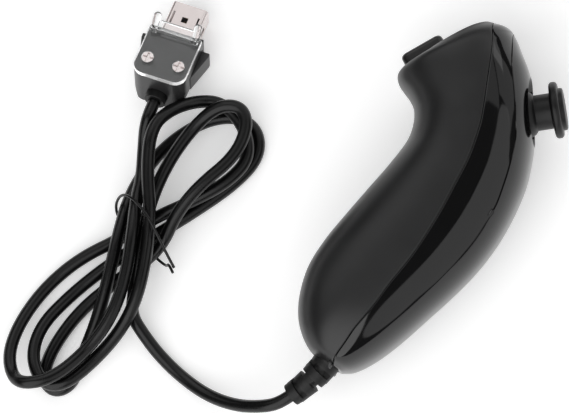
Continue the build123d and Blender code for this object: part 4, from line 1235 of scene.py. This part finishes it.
@dataclass
class Plug:
    """Plug at the cord's end: housings, clear hook plate, shield, screws and release buttons.

    Parts are CAD nodes with their new names, the rounding of their edges in millimetres, and their finish.
    """

    parts: tuple[tuple[str, str, float, str], ...] = (
        ("plug_lower_housing", "plug_base", 0.35, "plug_grey"),
        ("plug_upper_housing", "plug_cover", 0.3, "plug_grey"),
        ("plug_screws", "plate_screws", 0.08, "screw_steel"),
        ("plug_shield", "shield", 0.07, "shield_steel"),
        ("release_button_left", "left_release", 0.3, "plug_grey"),
        ("release_button_right", "right_release", 0.3, "plug_grey"),
        ("plug_cord_collar", "cord_collar", 0.25, "rubber_black"),
        ("strain_relief", "boot", 0.3, "rubber_black"),
    )
    plain: tuple[str, ...] = ("plug_contact_block", "plug_contacts")
    origin: Triple = (-89.782, -2.804, 5.474)
    across: Triple = (0.996917, 0.078459, 0.0)
    upward: Triple = (-0.024245, 0.308064, 0.951057)
    width: float = 16.2
    length: float = 16.4
    corner: float = 3.5
    low: float = 14.0
    thick: float = 1.8
    chamfer: float = 0.5
    edge_round: float = 0.22
    post_radius: float = 1.2
    post_spread: float = 12.6
    post_rise: float = 4.2
    post_reach: float = 4.0
    bar_width: float = 3.4
    bar_height: float = 1.6
    screw_side: float = 4.8
    screw_back: float = 5.6
    screw_radius: float = 1.0
    head_radius: float = 1.84
    head_seat: float = 0.6
    # Width of the band of side faces that get the painted glow.
    painted_glow_band: float = 0.3

    def build(self, finishes: Finishes) -> list[Piece]:
        """Recast the shown parts and list all that goes with the cord.

        Args:
            finishes: The object's finishes.

        Returns:
            The pieces on the cord.
        """
        made = [self.plate(finishes)]
        made += [finishes.dress(Bench.recast(node, name, width), slot)
                 for node, name, width, slot in self.parts]
        LOG.info("plug of %d pieces with the strain relief", len(made))
        return made + [frame["nodes"][node] for node in self.plain]

    def plate_outline(self) -> list[Pair]:
        """Outline of the plate: two chamfered corners in front and two round ones behind.

        Returns:
            The corners of the outline.
        """
        half, inner = self.width / 2, self.width / 2 - self.corner
        front = [(half, self.length - self.chamfer), (half - self.chamfer, self.length)]
        front += [(-x, y) for x, y in reversed(front)]
        left = [(-inner - x, self.corner - y) for x, y in arc(self.corner, 0.0, math.pi / 2, 10)]
        return front + left + [(-x, y) for x, y in reversed(left)]

    def gets_painted_glow(self, face: bpy.types.MeshPolygon) -> bool:
        """Whether a face of the plate belongs to its sides, which get a painted glow.

        Args:
            face: The face, in the plate's own frame.

        Returns:
            True for a face of the sides.
        """
        inner, (x, y, _) = self.width / 2 - self.corner, face.center / MM
        round_corner = (abs(x) > inner and y < self.corner
                        and math.hypot(abs(x) - inner, y - self.corner) > self.corner - self.painted_glow_band)
        outer = abs(x) > self.width / 2 - self.painted_glow_band or y < self.painted_glow_band or round_corner
        return outer and abs(face.normal.z) < 0.9 and y < self.length

    def plate(self, finishes: Finishes) -> Piece:
        """Clear plate with its two leaning posts and the bar between them.

        Args:
            finishes: The object's finishes.

        Returns:
            The plate.
        """
        top, ledge, radius = self.low + self.thick, self.low + self.head_seat, self.post_radius
        plate = Bench.prism("hook_plate", self.plate_outline(), self.low, top)
        Bench.bevel(plate, lambda at, way: abs(way.z) < 0.5, self.edge_round, 3)
        lean = Vector((0.0, self.post_reach, self.post_rise)).normalized()
        foot = Vector((0.0, self.length - 2 * radius, top - radius))
        tall = math.hypot(self.post_reach, self.post_rise)
        cap = [(x, tall + y) for x, y in arc(radius, 0.0, math.pi / 2, 8)[:-1]]
        for side in (-1, 1):
            post = Bench.lathe("post", [(0.0, 0.0), (radius, 0.0), *cap, (0.0, tall + radius)], 32)
            stand = foot + X_AXIS * side * self.post_spread / 2
            Bench.carve(plate, Bench.place(post, spot(stand, X_AXIS, lean)), Cut.TOGETHER)
        bar = Bench.prism("bar", rounded_outline(self.post_spread, self.bar_height, 0.25, 4),
                          -self.bar_width / 2, self.bar_width / 2)
        Bench.carve(plate, Bench.place(bar, spot(foot + lean * tall / 2, X_AXIS, lean)), Cut.TOGETHER)
        for side in (-1, 1):
            seat = Bench.lathe("seat", [(0, self.low - 1), (self.screw_radius, self.low - 1),
                                        (self.screw_radius, ledge), (self.head_radius, ledge),
                                        (self.head_radius, top + 1), (0, top + 1)], 40)
            place = Vector((side * self.screw_side, self.screw_back, 0.0)) * MM
            Bench.carve(plate, Bench.place(seat, Matrix.Translation(place)), Cut.AWAY)
        # Mark the side faces for the clear finish's painted glow, an emission that stands in for light.
        rim = plate.data.attributes.new("rim", "FLOAT", "FACE")
        for face, value in zip(plate.data.polygons, rim.data):
            value.value = float(self.gets_painted_glow(face))
        Bench.place(plate, spot(Vector(self.origin), Vector(self.across), Vector(self.upward)))
        Bench.smooth(plate, Bench.SMOOTH)
        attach(plate, "controller")
        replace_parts(plate, "plug_hook_plate")
        return finishes.dress(plate, "clear_plastic")


class Inside:
    """Inner parts that keep their CAD shape and get their finishes."""

    SLOTS = {
        "shell_screws": "screw_steel", "button_board": "board_green", "button_board_screws": "screw_steel",
        "z_button_dome": "grey_rubber", "c_button_dome": "grey_rubber", "stick_shaft": "pom_white",
        "gimbal_ring": "white_nylon", "slotted_yoke": "white_nylon", "stick_housing": "shield_steel",
        "spring_plate": "pom_white", "centring_spring": "spring_steel", "lower_potentiometer": "chip_black",
        "lower_wiper": "gold_contact", "side_potentiometer": "chip_black", "side_wiper": "gold_contact",
        "main_board": "board_green", "controller_chip": "chip_black", "motion_sensor": "chip_black",
        "cable_connector": "white_nylon", "main_board_screws": "screw_steel",
        "board_components": "tan_ceramic",
        "inner_wires": "wire_insulation", "plug_contact_block": "chip_black",
        "plug_contacts": "gold_contact",
    }

    def dress(self, finishes: Finishes) -> None:
        """Give every inner node its finish.

        Args:
            finishes: The object's finishes.
        """
        for node, slot in self.SLOTS.items():
            finishes.dress(frame["nodes"][node], slot)
        LOG.info("%d inner nodes dressed", len(self.SLOTS))


# Studio


@dataclass(frozen=True)
class SoftBox:
    """Soft box seen from the object: place across and above the camera's line, size and glow."""

    name: str
    across: float
    above: float
    width: float
    height: float
    glow: float
    round: bool


@dataclass
class Studio:
    """Pale floor, soft light and the camera of the photograph."""

    aim: Triple = (-43.88, -15.62, 0.0)
    height: float = 19.0
    right: Triple = (0.9067, 0.4037, -0.1227)
    up: Triple = (-0.3740, 0.9036, 0.2084)
    width: float = 164.35
    lens: float = 400.0
    reach: float = 1.6
    fill: float = 0.08
    boxes: tuple[SoftBox, ...] = (
        SoftBox("key_box", -0.40, -0.55, 2.1, 3.0, 1.9, True),
        SoftBox("side_box", 0.66, -0.22, 1.8, 2.2, 0.85, True),
        SoftBox("top_box", 0.06, 0.60, 1.6, 0.72, 0.5, False),
        SoftBox("corner_box", 0.76, 0.48, 1.0, 0.7, 0.6, False),
        SoftBox("left_box", -0.58, 0.58, 1.4, 0.84, 0.8, False),
        SoftBox("back_box", 0.15, 0.90, 2.6, 0.84, 0.95, False))

    def build(self) -> None:
        """Set the stage, without the objects of Blender's start-up file."""
        for name in ("Cube", "Light", "Camera"):
            left_over = bpy.data.objects.get(name)
            if left_over:
                bpy.data.objects.remove(left_over, do_unlink=True)
        self.camera()
        self.floor()
        self.light()

    def camera(self) -> None:
        """Long lens at the photograph's angle, framed at the object's middle height."""
        right, up = Vector(self.right).normalized(), Vector(self.up)
        up = (up - right * up.dot(right)).normalized()
        back = right.cross(up)
        data = bpy.data.cameras.new("camera")
        data.lens = self.lens
        data.clip_start, data.clip_end = 0.05, 50.0
        distance = self.width * self.lens / data.sensor_width
        aim = Vector(self.aim) + back * (self.height / back.z)
        camera = bpy.data.objects.new("camera", data)
        camera.matrix_world = Matrix.Translation((aim + back * distance) * MM) @ axes(right, up, back)
        bpy.context.scene.collection.objects.link(camera)
        bpy.context.scene.camera = camera

    def floor(self) -> None:
        """Plain pale floor under the object."""
        Bench.clear()
        bpy.ops.mesh.primitive_plane_add(size=6.0, location=(0, 0, -0.0001))
        floor = Bench.fresh("floor")
        material = bpy.data.materials.new("pale_floor")
        material.use_nodes = True
        shader = material.node_tree.nodes["Principled BSDF"]
        for socket, value in (("Base Color", (0.95, 0.95, 0.95, 1.0)), ("Roughness", 0.9),
                              ("Emission Color", (1.0, 1.0, 1.0, 1.0)), ("Emission Strength", 0.3),
                              ("Specular IOR Level", 0.1)):
            shader.inputs[socket].default_value = value
        floor.data.materials.append(material)

    def light(self) -> None:
        """Soft boxes round the camera, with dark gaps between them, in pale surroundings."""
        scene = bpy.context.scene
        scene.view_settings.view_transform = "Standard"
        world = bpy.data.worlds.new("studio")
        world.use_nodes = True
        tree = world.node_tree
        background = tree.nodes["Background"]
        background.inputs["Color"].default_value = (1.0, 1.0, 1.0, 1.0)
        path = add_node(tree, "LightPath")
        fill = add_node(tree, "MapRange", {"To Min": self.fill, "To Max": 1.0})
        wire(tree, (path, "Is Camera Ray", fill, "Value"), (fill, "Result", background, "Strength"))
        scene.world = world
        right, up = Vector(self.right), Vector(self.up)
        back = right.cross(up).normalized()
        for box in self.boxes:
            rest = math.sqrt(1.0 - box.across ** 2 - box.above ** 2)
            heading = (right * box.across + up * box.above + back * rest).normalized()
            side = (right - heading * right.dot(heading)).normalized()
            data = bpy.data.lights.new(box.name, "AREA")
            data.shape = "ELLIPSE" if box.round else "RECTANGLE"
            data.size, data.size_y = box.width, box.height
            area = box.width * box.height * (math.pi / 4 if box.round else 1.0)
            data.energy = box.glow * math.pi * area
            lamp = bpy.data.objects.new(box.name, data)
            turn = axes(side, heading.cross(side), heading)
            lamp.matrix_world = Matrix.Translation(heading * self.reach) @ turn
            lamp.visible_camera = False
            scene.collection.objects.link(lamp)


def main() -> None:
    """Build the scene in order."""
    logging.basicConfig(level=logging.INFO, format="%(name)s: %(message)s")
    Studio().build()
    finishes = Finishes()
    cord = Cord()
    cord.build(finishes)
    Grip().build(finishes)
    Buttons().build(finishes)
    Stick().build(finishes)
    on_cord = Plug().build(finishes)
    cord.declare()
    Inside().dress(finishes)
    Bench.clear()


if __name__ == "__main__":
    main()
